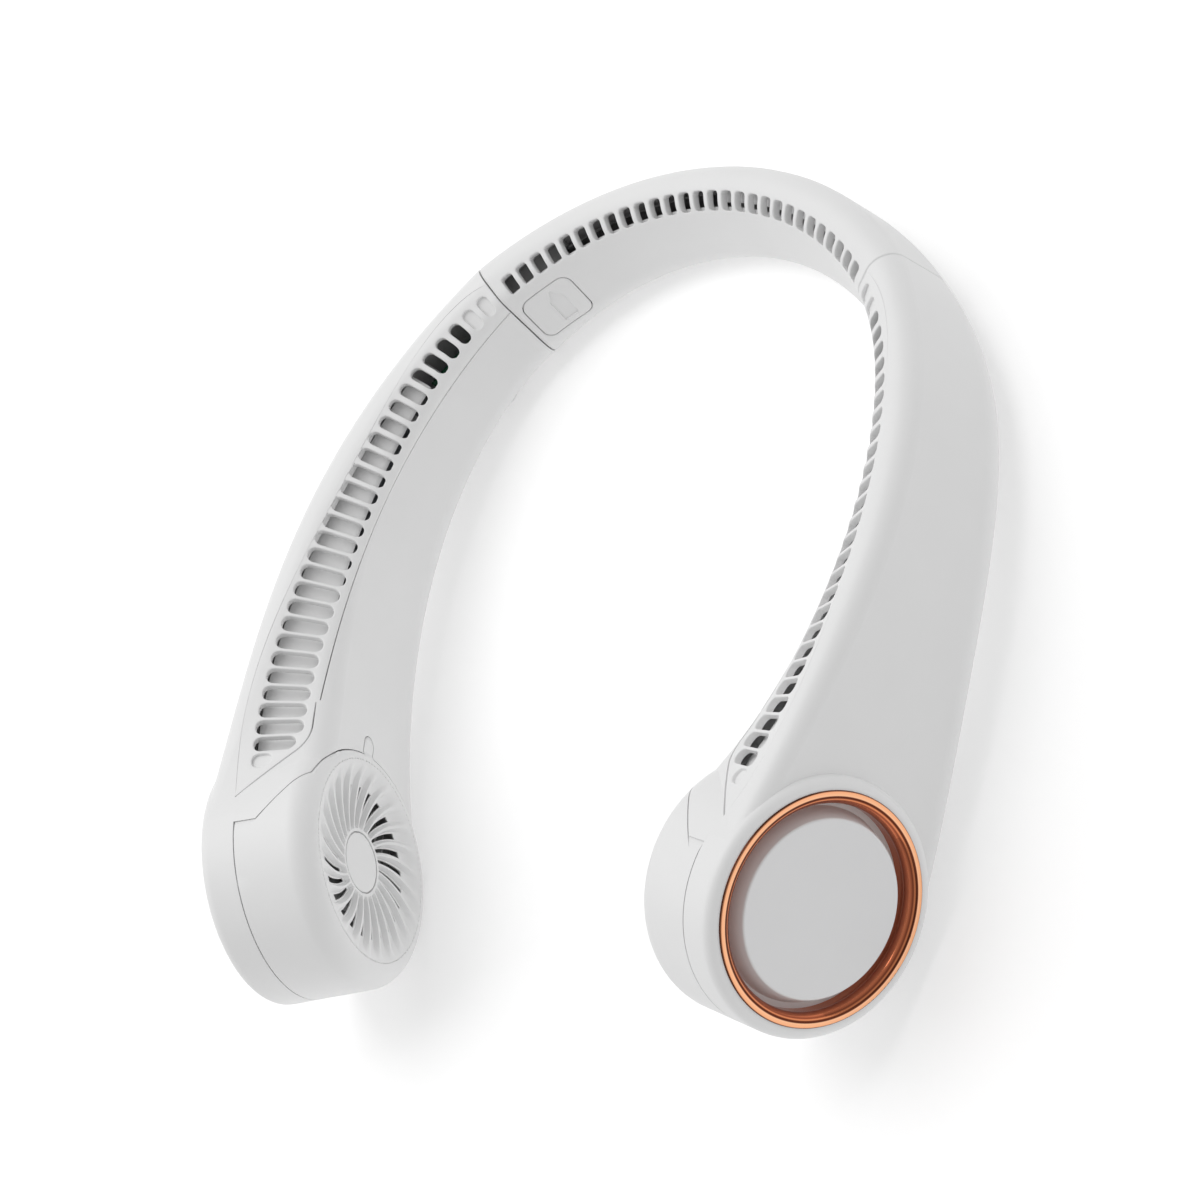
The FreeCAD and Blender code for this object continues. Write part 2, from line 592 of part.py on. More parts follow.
def make_arm():
    """Outer shell, inner shell, vent strip and intake cover of the right arm."""
    body = arm_solid(0)
    cavity = arm_solid(size("wall"), size("overrun"))
    shell = body.cut(cavity).fuse(arm_ribs(body))
    outside = outer_side()
    floor = FACE - size("recess_depth")
    cup = disc(size("recess_radius + cup_wall"), floor - size("wall"), FACE)
    recess = disc(size("recess_radius"), floor, FACE + size("overrun"))
    low, bite = floor - size("wall"), size("screw_bite")
    pilots = [screw_hole(k, size("screw_radius"), low, bite) for k in screw_range()]
    solid_node("right_outer_shell", shell.common(outside).fuse(cup).cut([recess, *pilots]).removeSplitter())
    inside = shell.cut(outside)
    strip_hole = strip_zone(size("strip_gap")).cut(strip_end(size("strip_gap")))
    solid_node("right_inner_shell", inside.cut([strip_hole, cover_zone(size("cover_gap"))]))
    count, blind = int(size("arm_slots")), int(size("blind_slots"))
    slots = []
    for k in range(count):
        at = SEAM_AT + size("first_slot") + k * size("arm_pitch")
        depth = size("slot_depth") if blind <= k < count - blind else size("pocket_depth")
        width = along_arm("slot_width", at)
        corner = width * size("slot_round_share")
        slots.append(slot_tool(at, along_arm("slot", at), width, corner, along_arm("slot_shift", at), depth))
    slots = Part.makeCompound(slots).cut(strip_end(-size("strip_end_rib")))
    strip = inside.common(strip_zone(0)).cut([strip_end(0), slots, cover_zone(size("cover_gap"))])
    solid_node("right_vent_strip", strip)
    rim = disc(size("rim_radius"), -FACE - size("overrun"), 0)
    lid = disc(size("cut_reach"), size("part_plane - cover_gap"), size("cut_reach"))
    cover = inside.common(cover_zone(0)).cut([rim, lid]).fuse(grille())
    solid_node("right_intake_cover", cover.removeSplitter())


make_arm()


# Outer face, motor and turbine, turned about the fan's axis

TOP = "fan_depth / 2 - recess_depth - wall"
FLOOR = "fan_depth / 2 - recess_depth"
TUBE_END = f"{TOP} - tube_length"
ROTOR = "stator_radius + air_gap"
HUB = f"{ROTOR} + rotor_wall"
PLATE = f"{TUBE_END} - rotor_space"
DISC = f"{TOP} - mount_thick - disc_space"

turned("right_trim_ring", [
    ("ring_mouth", FLOOR), ("recess_radius", FLOOR), ("recess_radius", "fan_depth / 2"),
    ("ring_radius", "fan_depth / 2"), ("ring_radius - ring_lip", "fan_depth / 2 + ring_lip"),
    ("ring_mouth + ring_flare", "fan_depth / 2 + ring_lip"),
    ("ring_mouth", "fan_depth / 2 + ring_lip - ring_fall"),
], {3: ("ring_lip", True), 5: ("ring_bend", True)})
turned("right_end_cap", [
    ("0", FLOOR), ("cap_base_radius", FLOOR), ("cap_radius", "fan_depth / 2 - cap_edge"),
    ("cap_radius - cap_edge", "fan_depth / 2"), ("0", "fan_depth / 2"),
], {2: ("cap_edge", True)})
for name, start in (("front", f"{TOP} - mount_thick - bearing_width"), ("rear", TUBE_END)):
    turned(f"right_{name}_bearing", [
        ("shaft_radius + shaft_gap", start), ("bearing_radius", start),
        ("bearing_radius", f"{start} + bearing_width"),
        ("shaft_radius + shaft_gap", f"{start} + bearing_width")])
turned("right_stator", [
    ("tube_radius", f"{TOP} - mount_thick - stator_space - stator_length"),
    ("stator_radius", f"{TOP} - mount_thick - stator_space - stator_length"),
    ("stator_radius", f"{TOP} - mount_thick - stator_space"),
    ("tube_radius", f"{TOP} - mount_thick - stator_space")])
turned("right_rotor", [
    ("shaft_radius", f"{PLATE} - rotor_plate"), (HUB, f"{PLATE} - rotor_plate"),
    (HUB, f"{TOP} - mount_thick - stator_space"), (ROTOR, f"{TOP} - mount_thick - stator_space"),
    (ROTOR, PLATE), ("shaft_radius", PLATE)])
turned("right_shaft", [
    ("0", f"{PLATE} - rotor_plate"), ("shaft_radius", f"{PLATE} - rotor_plate"),
    ("shaft_radius", f"{TOP} - shaft_end"), ("0", f"{TOP} - shaft_end")])

mount = turned("right_motor_mount", [
    ("bearing_radius", TUBE_END), ("tube_radius", TUBE_END), ("tube_radius", f"{TOP} - mount_thick"),
    ("mount_radius", f"{TOP} - mount_thick"), ("mount_radius", TOP), ("bearing_radius", TOP)])
holes = mount.newObject("Sketcher::SketchObject", "mount_hole")
holes.AttachmentSupport = [(plane_of(mount, "XY_Plane"), "")]
holes.MapMode = "FlatFace"
holes.addGeometry(Part.Circle(Vec(size("screw_circle"), 0, 0), UP, size("screw_radius + screw_gap")), False)
holes.addConstraint(Sketcher.Constraint("PointOnObject", 0, 3, -1))
for rule, text in ((Sketcher.Constraint("DistanceX", -1, 1, 0, 3, size("screw_circle")), "screw_circle"),
                   (Sketcher.Constraint("Radius", 0, size("screw_radius + screw_gap")), "screw_radius + screw_gap")):
    holes.setExpression(f"Constraints[{holes.addConstraint(rule)}]", cell(text))
pocket = mount.newObject("PartDesign::Pocket", "mount_pocket")
pocket.Profile = holes
pocket.Type = 1
pocket.Midplane = True
ring = mount.newObject("PartDesign::PolarPattern", "mount_holes")
ring.Originals = [pocket]
ring.Axis = (holes, ["N_Axis"])
ring.Angle = 360
ring.setExpression("Occurrences", cell("mount_screws"))
mount.Tip = ring

wheel = turned("right_impeller", [
    ("0", f"{PLATE} - rotor_plate - hub_wall"), (f"{HUB} + hub_wall", f"{PLATE} - rotor_plate - hub_wall"),
    (f"{HUB} + hub_wall", f"{DISC} - disc_thick"), ("wheel_radius", f"{DISC} - disc_thick"),
    ("wheel_radius", DISC), (HUB, DISC), (HUB, f"{PLATE} - rotor_plate"), ("0", f"{PLATE} - rotor_plate")])
blade = draw(wheel, "blade_outline", "XY_Plane", [
    ("blade_root", "0"), ("blade_tip_out", "blade_tip_side"),
    ("blade_tip_out - blade_tip_back", "blade_tip_side + blade_tip_rise"), ("blade_root", "blade_foot"),
], {0: ("blade_bend", True), 2: ("blade_bend", False)}, f"{DISC} - disc_thick")
pad = wheel.newObject("PartDesign::Pad", "blade")
pad.Profile = blade
pad.setExpression("Length", cell("blade_length"))
pad.Reversed = True
fan_of_blades = wheel.newObject("PartDesign::PolarPattern", "blades_round")
fan_of_blades.Originals = [pad]
fan_of_blades.Axis = (blade, ["N_Axis"])
fan_of_blades.Angle = 360
fan_of_blades.setExpression("Occurrences", cell("blades"))
wheel.Tip = fan_of_blades

for k in screw_range():
    screw = turned(f"right_mount_screw_{k + 1}", [
        ("0", f"{TOP} - mount_thick - screw_head"), ("screw_head_radius", f"{TOP} - mount_thick - screw_head"),
        ("screw_head_radius", f"{TOP} - mount_thick"), ("screw_radius", f"{TOP} - mount_thick"),
        ("screw_radius", f"{TOP} + screw_bite"), ("0", f"{TOP} + screw_bite")])
    screw.Placement = LAY.multiply(FAN).multiply(screw_place(k))


# Board and battery of each arm

def box_node(label, item):
    """The board or the battery, as a box bound to the sheet."""
    box = doc.addObject("Part::Box", label)
    for side, name in (("Length", "length"), ("Width", "thick"), ("Height", "height")):
        box.setExpression(side, cell(f"{item}_{name}"))
    point, normal, heading = path(size(f"{item}_at"))
    corner = Vec(-size(f"{item}_length"), -size(f"{item}_thick"), -size(f"{item}_height")) / 2
    middle = point + normal * size(f"{item}_out") - UP * size(f"{item}_drop")
    turn = FreeCAD.Rotation(heading, normal, UP, "ZXY")
    box.Placement = LAY.multiply(Place(middle, turn)).multiply(Place(corner, FreeCAD.Rotation()))
    return keep(label, box)


box_node("right_battery", "battery")
box_node("right_board", "board")


# Seams: core blocks, end plugs, flex strip and harness

def below_duct():
    """Everything under the air duct's level."""
    reach = 2 * size("cut_reach")
    return Part.makeBox(2 * reach, 2 * reach, reach, Vec(-reach, -reach, -reach - size("duct_level")))


def sweep(out, up, thick, height, start, end):
    """Rectangle (out, up) swept about the rear arc's centre between two turns."""
    radius = size("rear_radius") + out
    signs = ((-1, -1), (1, -1), (1, 1), (-1, 1))
    corners = [Vec(0, radius + x * thick / 2, up + z * height / 2) for x, z in signs]
    face = Part.Face(Part.makePolygon(corners + corners[:1]))
    face.rotate(Vec(), UP, -start)
    return face.revolve(Vec(), UP, start - end)


def cord(radius, start, end):
    """The harness between two turns, as a round cord about the rear arc's centre."""
    middle = outward(start) * size("rear_radius + harness_out") - UP * size("harness_drop")
    ring = Part.makeCircle(radius, middle, Vec(middle.y, -middle.x, 0))
    return Part.Face(Part.Wire(ring)).revolve(Vec(), UP, start - end)


def flex(start, end, grow=0, inner=0):
    """The flex strip between two turns, grown all round, and by a further flare towards the neck."""
    thick = size("flex_thick") + 2 * grow + inner
    height = size("flex_height") + 2 * grow
    return sweep(size("flex_out") - inner / 2, -size("flex_drop"), thick, height, start, end)


def section_solid(turns, inset):
    """Sleeve sections joined between turns, drawn in by an inset."""
    runs = [(math.radians(turn) * size("rear_radius"), turn) for turn in turns]
    return loft([outline(at, sleeve_circles(turn, inset)) for at, turn in runs])


LAST = size("harness_turn")
solid_node("flex_strip", flex(-size("flex_turn"), size("flex_turn")))
solid_node("wire_harness", cord(size("harness_radius"), -LAST, LAST))
passages = [flex(0, LAST, size("fit_gap")), cord(size("harness_radius + fit_gap"), 0, LAST)]
core_turns = (size("core_start"), size("core_start + core_end") / 2, size("core_end"))
core = section_solid(core_turns, size("sleeve_wall + fit_gap")).common(below_duct()).cut(passages)
solid_node("right_core_block", core)

plug_face = Part.Face(outline(ARM_START, circles_at("seam", size("wall + plug_gap"))))
plug = plug_face.revolve(Vec(), UP, -size("plug_turn")).common(below_duct())
flares = [flex(size("core_end"), LAST, size("fit_gap"), size("flare_gap"))]
for step in (0, size("flare_gap")):
    flare = cord(size("harness_radius + fit_gap"), size("core_end"), LAST)
    flare.translate(outward(size("seam_turn")) * -step)
    flares.append(flare)
flares.append(sweep(size("harness_out") - size("flare_gap") / 2, -size("harness_drop"), size("flare_gap"),
                    2 * size("harness_radius + fit_gap"), size("core_end"), LAST))
solid_node("right_end_plug", plug.cut(flares))


# Left arm: the right arm's pieces turned over, with the power button's hole in its inner shell

for label in [label for label in NODES if label.startswith("right_")]:
    mirror_node(label.replace("right_", ""))


def cut_node(label, tool):
    """The node with a tool's shape taken out of it."""
    plain = NODES[label]
    plain.Label = f"{label}_plain"
    result = doc.addObject("Part::Cut", f"{label}_cut")
    result.Base = plain
    result.Tool = tool
    return keep(label, result)


BUTTON = path(-size("board_at"))
BUTTON_PLACE = LAY.multiply(Place(BUTTON[0] + BUTTON[1] * size("button_out"), FreeCAD.Rotation()))
hole = doc.addObject("Part::Cylinder", "button_hole")
hole.setExpression("Radius", cell("button_radius + button_gap"))
hole.setExpression("Height", cell("button_drop - flange_drop + overrun"))
hole.Placement = BUTTON_PLACE.multiply(Place(UP * -size("button_drop + overrun"), FreeCAD.Rotation()))
seat = doc.addObject("Part::Cylinder", "button_seat")
seat.setExpression("Radius", cell("flange_radius + button_gap"))
seat.setExpression("Height", cell("overrun"))
seat.Placement = BUTTON_PLACE.multiply(Place(UP * -size("flange_drop + button_gap"), FreeCAD.Rotation()))
room = doc.addObject("Part::Fuse", "button_room")
room.Base = hole
room.Tool = seat
cut_node("left_inner_shell", room)

button = turned("power_button", [
    ("0", "0 - button_drop"), ("button_radius", "0 - button_drop"), ("button_radius", "0 - flange_drop"),
    ("flange_radius", "0 - flange_drop"), ("flange_radius", "flange_thick - flange_drop"),
    ("0", "flange_thick - flange_drop")])
button.Placement = BUTTON_PLACE
switch = doc.addObject("Part::Box", "button_switch")
for side in ("Length", "Width"):
    switch.setExpression(side, cell("switch_side"))
switch.setExpression("Height", cell("switch_drop - board_drop - board_height / 2"))
turn = FreeCAD.Rotation(BUTTON[2], BUTTON[1], UP, "ZXY")
corner = Vec(-size("switch_side") / 2, -size("switch_side") / 2, -size("switch_drop"))
switch.Placement = BUTTON_PLACE.multiply(Place(Vec(), turn)).multiply(Place(corner, FreeCAD.Rotation()))
keep("button_switch", switch)


# Rear sleeve with its slots, charging flap and socket

FLAP_AT = -size("rear_radius") * math.radians(size("flap_turn"))
FLAP_POINT, FLAP_NORMAL, FLAP_HEADING = path(FLAP_AT)
FLAP = Place(FLAP_POINT - UP * size("flap_drop"),
             FreeCAD.Rotation(FLAP_HEADING, UP, FLAP_HEADING.cross(UP), "ZXY"))


def at_flap(corners, low, high):
    """Outline along the band and up, centred on the flap, from one place to another towards the neck."""
    points = [Vec(x, y, low) for x, y in corners]
    solid = Part.Face(Part.makePolygon(points + points[:1])).extrude(UP * (high - low))
    solid.Placement = FLAP
    return solid


def rounded(width, height, radius, low, high):
    """Rounded rectangle centred on the flap, from one place to another towards the neck."""
    right, top = width / 2, height / 2
    solid = at_flap([(-right, -top), (right, -top), (right, top), (-right, top)], low, high)
    across = FLAP.Rotation.multVec(UP)
    edges = [e for e in solid.Edges if abs(e.tangentAt(e.FirstParameter).dot(across)) > 1 / 2]
    return solid.makeFillet(radius, edges)


def sleeve_solid(inset, lead=0):
    """The whole sleeve, drawn in by an inset and led past both seams."""
    thirds = (-3, -2, -1, 0, 1, 2, 3)
    solid = section_solid([size("seam_turn") * k / thirds[-1] for k in thirds], inset)
    for side in (-1, 1) if lead else ():
        end = Part.Face(outline(side * SEAM_AT, sleeve_circles(size("seam_turn"), inset)))
        solid = solid.fuse(end.extrude(path(side * SEAM_AT)[2] * side * lead))
    return solid


skin = sleeve_solid(0).cut(sleeve_solid(size("sleeve_wall"), size("overrun")))
flap_size = (size("flap_width"), size("flap_height"), size("flap_round"), -size("overrun"), size("cut_reach"))
flap = skin.common(rounded(*flap_size))
grown = [length + 2 * size("flap_gap") for length in flap_size[:2]]
flap_hole = rounded(*grown, size("flap_round + flap_gap"), *flap_size[3:])
slots = []
for k in range(int(size("sleeve_slots"))):
    at = (k - (size("sleeve_slots") - 1) / 2) * size("sleeve_pitch")
    length = grow_between(size("rear_slot"), size("seam_slot"), (at / SEAM_AT) ** 2)
    slots.append(slot_tool(at, length, size("sleeve_slot_width"), size("slot_corner"), 0, size("slot_depth")))
solid_node("rear_sleeve", skin.cut([Part.makeCompound(slots), flap_hole]))

half, high, point = size("nail_width") / 2, size("nail_height") / 2, size("nail_point")
shift = size("nail_shift")
nail = at_flap([(shift - half, -high), (shift + half, -high), (shift + half, high - point), (shift, high),
                (shift - half, high - point)], -size("overrun"), size("cut_reach"))
solid_node("port_flap", flap.cut(nail.cut(sleeve_solid(size("nail_depth")))))

front, back = -size("socket_out"), -size("socket_out + socket_length")
shell_size = (size("socket_width"), size("socket_height"), size("socket_round"))
socket = rounded(*shell_size, back, front)
thin = size("socket_wall")
inside = [length - 2 * thin for length in shell_size[:2]]
socket = socket.cut(rounded(*inside, shell_size[2] - thin, back + thin, front + thin))
wide, thick = size("tongue_width") / 2, size("tongue_thick") / 2
tongue = at_flap([(-wide, -thick), (wide, -thick), (wide, thick), (-wide, thick)], back,
                 back + size("tongue_length"))
solid_node("usb_port", socket.fuse(tongue).removeSplitter())

fit = size("fit_gap")
pocket_size = [length + 2 * fit for length in shell_size[:2]]
bay = doc.addObject("Part::Feature", "socket_bay")
bay.Shape = rounded(*pocket_size, shell_size[2] + fit, back - fit, size("overrun") - back)
bay.Placement = LAY.multiply(bay.Placement)
cut_node("left_core_block", bay)


# Checks and export

doc.recompute()
faults = []
for item in doc.Objects:
    if "Invalid" in item.State or "Error" in item.State:
        faults.append(f"{item.Label}: {item.State}")
for label, item in NODES.items():
    shape = item.Shape
    if shape.isNull() or not shape.isValid() or len(shape.Solids) != 1:
        faults.append(f"{label}: shape")
if faults:
    raise RuntimeError("; ".join(faults))
os.makedirs("parts", exist_ok=True)
for label, item in NODES.items():
    item.Shape.exportStep(f"parts/{label}.step")
print(len(NODES), "nodes written")
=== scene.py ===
"""Looks of the electric neck fan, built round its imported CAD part."""
import json
import math

import bmesh
import bpy
import numpy as np
from mathutils import Matrix, Vector


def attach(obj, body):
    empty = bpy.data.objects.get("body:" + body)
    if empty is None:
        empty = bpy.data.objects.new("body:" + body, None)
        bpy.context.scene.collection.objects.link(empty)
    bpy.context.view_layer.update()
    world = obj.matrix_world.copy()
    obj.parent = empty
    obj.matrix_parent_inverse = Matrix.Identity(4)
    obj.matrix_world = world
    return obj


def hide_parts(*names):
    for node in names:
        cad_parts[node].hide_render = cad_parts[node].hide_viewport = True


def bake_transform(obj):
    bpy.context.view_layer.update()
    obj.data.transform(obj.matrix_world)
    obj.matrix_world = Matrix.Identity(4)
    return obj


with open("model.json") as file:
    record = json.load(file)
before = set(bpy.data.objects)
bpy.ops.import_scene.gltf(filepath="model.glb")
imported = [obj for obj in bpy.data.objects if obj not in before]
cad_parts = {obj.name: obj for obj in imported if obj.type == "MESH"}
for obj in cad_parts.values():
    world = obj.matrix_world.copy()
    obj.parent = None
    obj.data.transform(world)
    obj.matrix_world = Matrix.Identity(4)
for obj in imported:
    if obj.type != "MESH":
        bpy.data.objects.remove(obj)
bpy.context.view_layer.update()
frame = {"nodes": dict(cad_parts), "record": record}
nodes = frame["nodes"]


# Camera at the photo's angle, in the frame the fan lies in
CAMERA_AT = (0.9801, -0.3179, 1.1103)
CAMERA_RIGHT = (0.75343, 0.19099, -0.62919)
CAMERA_UP = (-0.00635, 0.95897, 0.28347)
CAMERA_BACK = (0.65750, -0.20958, 0.72373)
LENS, SENSOR, CLIP_END = 189.02, 36.0, 20.0


def add_camera():
    data = bpy.data.cameras.new("photo_camera")
    data.lens, data.sensor_width = LENS, SENSOR
    data.clip_end = CLIP_END
    camera = bpy.data.objects.new("photo_camera", data)
    bpy.context.scene.collection.objects.link(camera)
    axes = Matrix([CAMERA_RIGHT, CAMERA_UP, CAMERA_BACK]).transposed().to_4x4()
    camera.matrix_world = Matrix.Translation(CAMERA_AT) @ axes
    bpy.context.scene.camera = camera


# Node materials

GRAIN_DETAIL, COARSENESS, ROUGH_SPREAD = 4.0, 12, 0.05


def new_material(name):
    material = bpy.data.materials.new(name)
    material.use_nodes = True
    tree = material.node_tree
    return material, tree, tree.nodes["Principled BSDF"]


def link(tree, source, target):
    tree.links.new(source, target)


def add_node(tree, kind, **inputs):
    node = tree.nodes.new(kind)
    for name, value in inputs.items():
        node.inputs[name.replace("_", " ")].default_value = value
    return node


def grain(tree, scale):
    """Fine noise over the object's own coordinates."""
    place = tree.nodes.new("ShaderNodeTexCoord")
    noise = add_node(tree, "ShaderNodeTexNoise", Scale=scale, Detail=GRAIN_DETAIL)
    link(tree, place.outputs["Object"], noise.inputs["Vector"])
    return noise.outputs["Fac"]


def spread(tree, value, low, high):
    """A value between 0 and 1 spread between two numbers."""
    node = add_node(tree, "ShaderNodeMapRange", To_Min=low, To_Max=high)
    link(tree, value, node.inputs["Value"])
    return node.outputs["Result"]


def tint(tree, value, low, high):
    """Colour between two colours."""
    node = tree.nodes.new("ShaderNodeMix")
    node.data_type = "RGBA"
    node.inputs["A"].default_value = (*low, 1.0)
    node.inputs["B"].default_value = (*high, 1.0)
    link(tree, value, node.inputs["Factor"])
    return node.outputs["Result"]


def surface(name, low, high, rough, metal=0.0, scale=900.0, bump=0.05, depth=0.00004):
    """Material with a fine grain in its colour, roughness and relief."""
    material, tree, shader = new_material(name)
    coarse, fine = grain(tree, scale / COARSENESS), grain(tree, scale)
    link(tree, tint(tree, coarse, low, high), shader.inputs["Base Color"])
    link(tree, spread(tree, fine, rough - ROUGH_SPREAD, rough + ROUGH_SPREAD), shader.inputs["Roughness"])
    shader.inputs["Metallic"].default_value = metal
    relief = add_node(tree, "ShaderNodeBump", Strength=bump, Distance=depth)
    link(tree, fine, relief.inputs["Height"])
    link(tree, relief.outputs["Normal"], shader.inputs["Normal"])
    return material


def axis_distance(tree, centre, axis):
    """Distance from a fan's axis, the same on both sides."""
    place, split = tree.nodes.new("ShaderNodeTexCoord"), tree.nodes.new("ShaderNodeSeparateXYZ")
    link(tree, place.outputs["Object"], split.inputs["Vector"])
    side = tree.nodes.new("ShaderNodeMath")
    side.operation = "ABSOLUTE"
    link(tree, split.outputs["X"], side.inputs[0])
    join = tree.nodes.new("ShaderNodeCombineXYZ")
    link(tree, side.outputs["Value"], join.inputs["X"])
    link(tree, split.outputs["Y"], join.inputs["Y"])
    link(tree, split.outputs["Z"], join.inputs["Z"])
    away, cross, length = (tree.nodes.new("ShaderNodeVectorMath") for _ in range(3))
    away.operation, cross.operation, length.operation = "SUBTRACT", "CROSS_PRODUCT", "LENGTH"
    away.inputs[1].default_value, cross.inputs[1].default_value = centre, axis
    link(tree, join.outputs["Vector"], away.inputs[0])
    link(tree, away.outputs["Vector"], cross.inputs[0])
    link(tree, cross.outputs["Vector"], length.inputs[0])
    return length.outputs["Value"]


MATERIALS = {
    "shell_white": surface("shell_white", (0.80, 0.80, 0.80), (0.83, 0.83, 0.83), 0.48),
    "vent_white": surface("vent_white", (0.80, 0.80, 0.80), (0.83, 0.83, 0.83), 0.48),
    "cover_white": surface("cover_white", (0.80, 0.80, 0.80), (0.83, 0.83, 0.83), 0.48),
    "sleeve_white": surface("sleeve_white", (0.79, 0.79, 0.79), (0.82, 0.82, 0.82), 0.56),
    "trim_copper": surface("trim_copper", (0.78, 0.33, 0.17), (0.82, 0.37, 0.20), 0.14, 1.0, 600.0, 0.02),
    "cap_grey": surface("cap_grey", (0.77, 0.77, 0.775), (0.80, 0.80, 0.805), 0.42),
    "inner_grey": surface("inner_grey", (0.55, 0.55, 0.55), (0.6, 0.6, 0.6), 0.6),
    "impeller_grey": surface("impeller_grey", (0.5, 0.5, 0.5), (0.55, 0.55, 0.55), 0.5),
    "motor_steel": surface("motor_steel", (0.5, 0.5, 0.5), (0.56, 0.56, 0.56), 0.3, 1.0),
    "winding_copper": surface("winding_copper", (0.55, 0.22, 0.09), (0.66, 0.3, 0.13), 0.35, 1.0, 300.0, 0.2),
    "battery_foil": surface("battery_foil", (0.3, 0.33, 0.36), (0.38, 0.4, 0.43), 0.35, 0.6, 200.0, 0.1),
    "board_green": surface("board_green", (0.01, 0.1, 0.05), (0.02, 0.13, 0.06), 0.4),
    "harness_grey": surface("harness_grey", (0.12, 0.12, 0.12), (0.16, 0.16, 0.16), 0.5),
    "switch_black": surface("switch_black", (0.02, 0.02, 0.02), (0.035, 0.035, 0.035), 0.45),
}

slot_of = {entry["node"]: entry["material_slot"] for entry in frame["record"]["subparts"]}
for name, node in nodes.items():
    finish = MATERIALS[slot_of[name]]
    node.data.materials.clear()
    node.data.materials.append(finish)

# The band's sizes, in millimetres, as in the part: corner circles (out, up, round) at each station

MM = 0.001
REAR_RADIUS, REAR_TURN, ARM_RADIUS, ARM_TURN, TIP_RUN = 78.4, 76.4, 161.5, 31.1, 22.7
SEAM_TURN, SEAM_GAP = 46.8, 0.3
SECTIONS = {
    "rear": ((5.1, -3.4, 5.7), (3.1, -4.2, 5.2), (1.9, -14.7, 7.6), (2.5, -12.7, 9.5)),
    "seam": ((6.4, -3.0, 5.7), (2.9, -4.5, 5.2), (2.8, -18.4, 7.6), (4.8, -15.7, 9.5)),
    "front": ((6.1, -2.7, 5.7), (1.4, -5.7, 5.7), (3.1, -23.5, 7.6), (7.5, -22.7, 9.5)),
    "waist": ((7.7, -1.0, 5.2), (-0.3, -7.4, 6.2), (2.4, -31.1, 7.6), (9.0, -30.3, 8.6)),
    "tail": ((11.0, 0.7, 4.3), (-3.8, -8.0, 6.2), (2.3, -43.2, 6.7), (16.4, -43.8, 6.2)),
}
FAN_OUT, FAN_DROP, FAN_LEAN, FAN_DEPTH = 7.1, 26.1, math.radians(8.1), 30.2
FACE_RADIUS, FACE_ROUND, BACK_RADIUS, BACK_ROUND = 28.0, 2.6, 24.6, 6.1
LAY_TURN, LAY_BACK, LAY_UP = math.radians(-11.894063), 20.7434, 38.6011
WALL, SLEEVE_WALL = 1.8, 2.2
VENT_ANGLE = math.radians(120.0)
STRIP_ANGLES = {"seam": 185.0, "front": 185.0, "waist": 158.0, "tail": 121.0, "fan": 121.0}
UP = np.array([0.0, 0.0, 1.0])
LAY = np.array([[1, 0, 0],
                [0, math.cos(LAY_TURN), -math.sin(LAY_TURN)],
                [0, math.sin(LAY_TURN), math.cos(LAY_TURN)]])
LAY_SHIFT = np.array([0.0, LAY_BACK, LAY_UP])
FACE = FAN_DEPTH / 2
REAR_RUN, ARM_RUN = REAR_RADIUS * math.radians(REAR_TURN), ARM_RADIUS * math.radians(ARM_TURN)
FAN_AT = REAR_RUN + ARM_RUN + TIP_RUN
SEAM_AT = REAR_RADIUS * math.radians(SEAM_TURN)
STATIONS = {"seam": SEAM_AT + SEAM_GAP, "front": 104.5, "waist": 147.3, "tail": 190.0, "fan": FAN_AT}


def laid(points):
    """Points of the band's frame in metres, as the part lies."""
    return (points @ LAY.T + LAY_SHIFT) * MM


def outward(turn):
    return np.array([math.sin(math.radians(turn)), math.cos(math.radians(turn)), 0.0])


def path(at):
    """Point of the vent line at a run from the rear, with its outward normal and its heading."""
    turn = math.degrees(at / REAR_RADIUS)
    if turn <= REAR_TURN:
        point = outward(turn) * REAR_RADIUS
    else:
        turn = REAR_TURN + min(math.degrees((at - REAR_RUN) / ARM_RADIUS), ARM_TURN)
        point = outward(REAR_TURN) * (REAR_RADIUS - ARM_RADIUS) + outward(turn) * ARM_RADIUS
    normal = outward(turn)
    heading = np.array([normal[1], -normal[0], 0.0])
    return point + heading * max(at - REAR_RUN - ARM_RUN, 0), normal, heading


def lean_point(along, rise):
    """Place (out, up) in the fan's section of a point along its axis and across it."""
    out = FAN_OUT + along * math.cos(FAN_LEAN) - rise * math.sin(FAN_LEAN)
    return out, along * math.sin(FAN_LEAN) + rise * math.cos(FAN_LEAN) - FAN_DROP


SECTIONS["fan"] = tuple((*lean_point(along, rise), rounding) for along, rise, rounding in (
    (FACE - FACE_ROUND, FACE_RADIUS, FACE_ROUND), (BACK_ROUND - FACE, BACK_RADIUS, BACK_ROUND),
    (BACK_ROUND - FACE, -BACK_RADIUS, BACK_ROUND), (FACE - FACE_ROUND, -FACE_RADIUS, FACE_ROUND)))
FAN_POINT, FAN_NORMAL, FAN_HEADING = path(FAN_AT)
FAN_AXIS = FAN_NORMAL * math.cos(FAN_LEAN) + UP * math.sin(FAN_LEAN)
FAN_CENTRE = FAN_POINT + FAN_NORMAL * FAN_OUT - UP * FAN_DROP

# The copper ring's colour is painted: a painted highlight on its lip and painted reflection bands down its
# bowl, by the distance from the fan's axis

RING_REFLECTION_BANDS = ((24.0, (0.50, 0.17, 0.10)), (24.7, (0.62, 0.19, 0.09)), (25.2, (0.22, 0.05, 0.025)),
               (25.55, (0.78, 0.27, 0.12)), (25.8, (0.12, 0.03, 0.015)), (26.2, (0.10, 0.026, 0.014)),
               (26.4, (0.93, 0.50, 0.29)), (27.25, (0.90, 0.42, 0.22)), (27.45, (0.12, 0.035, 0.02)))


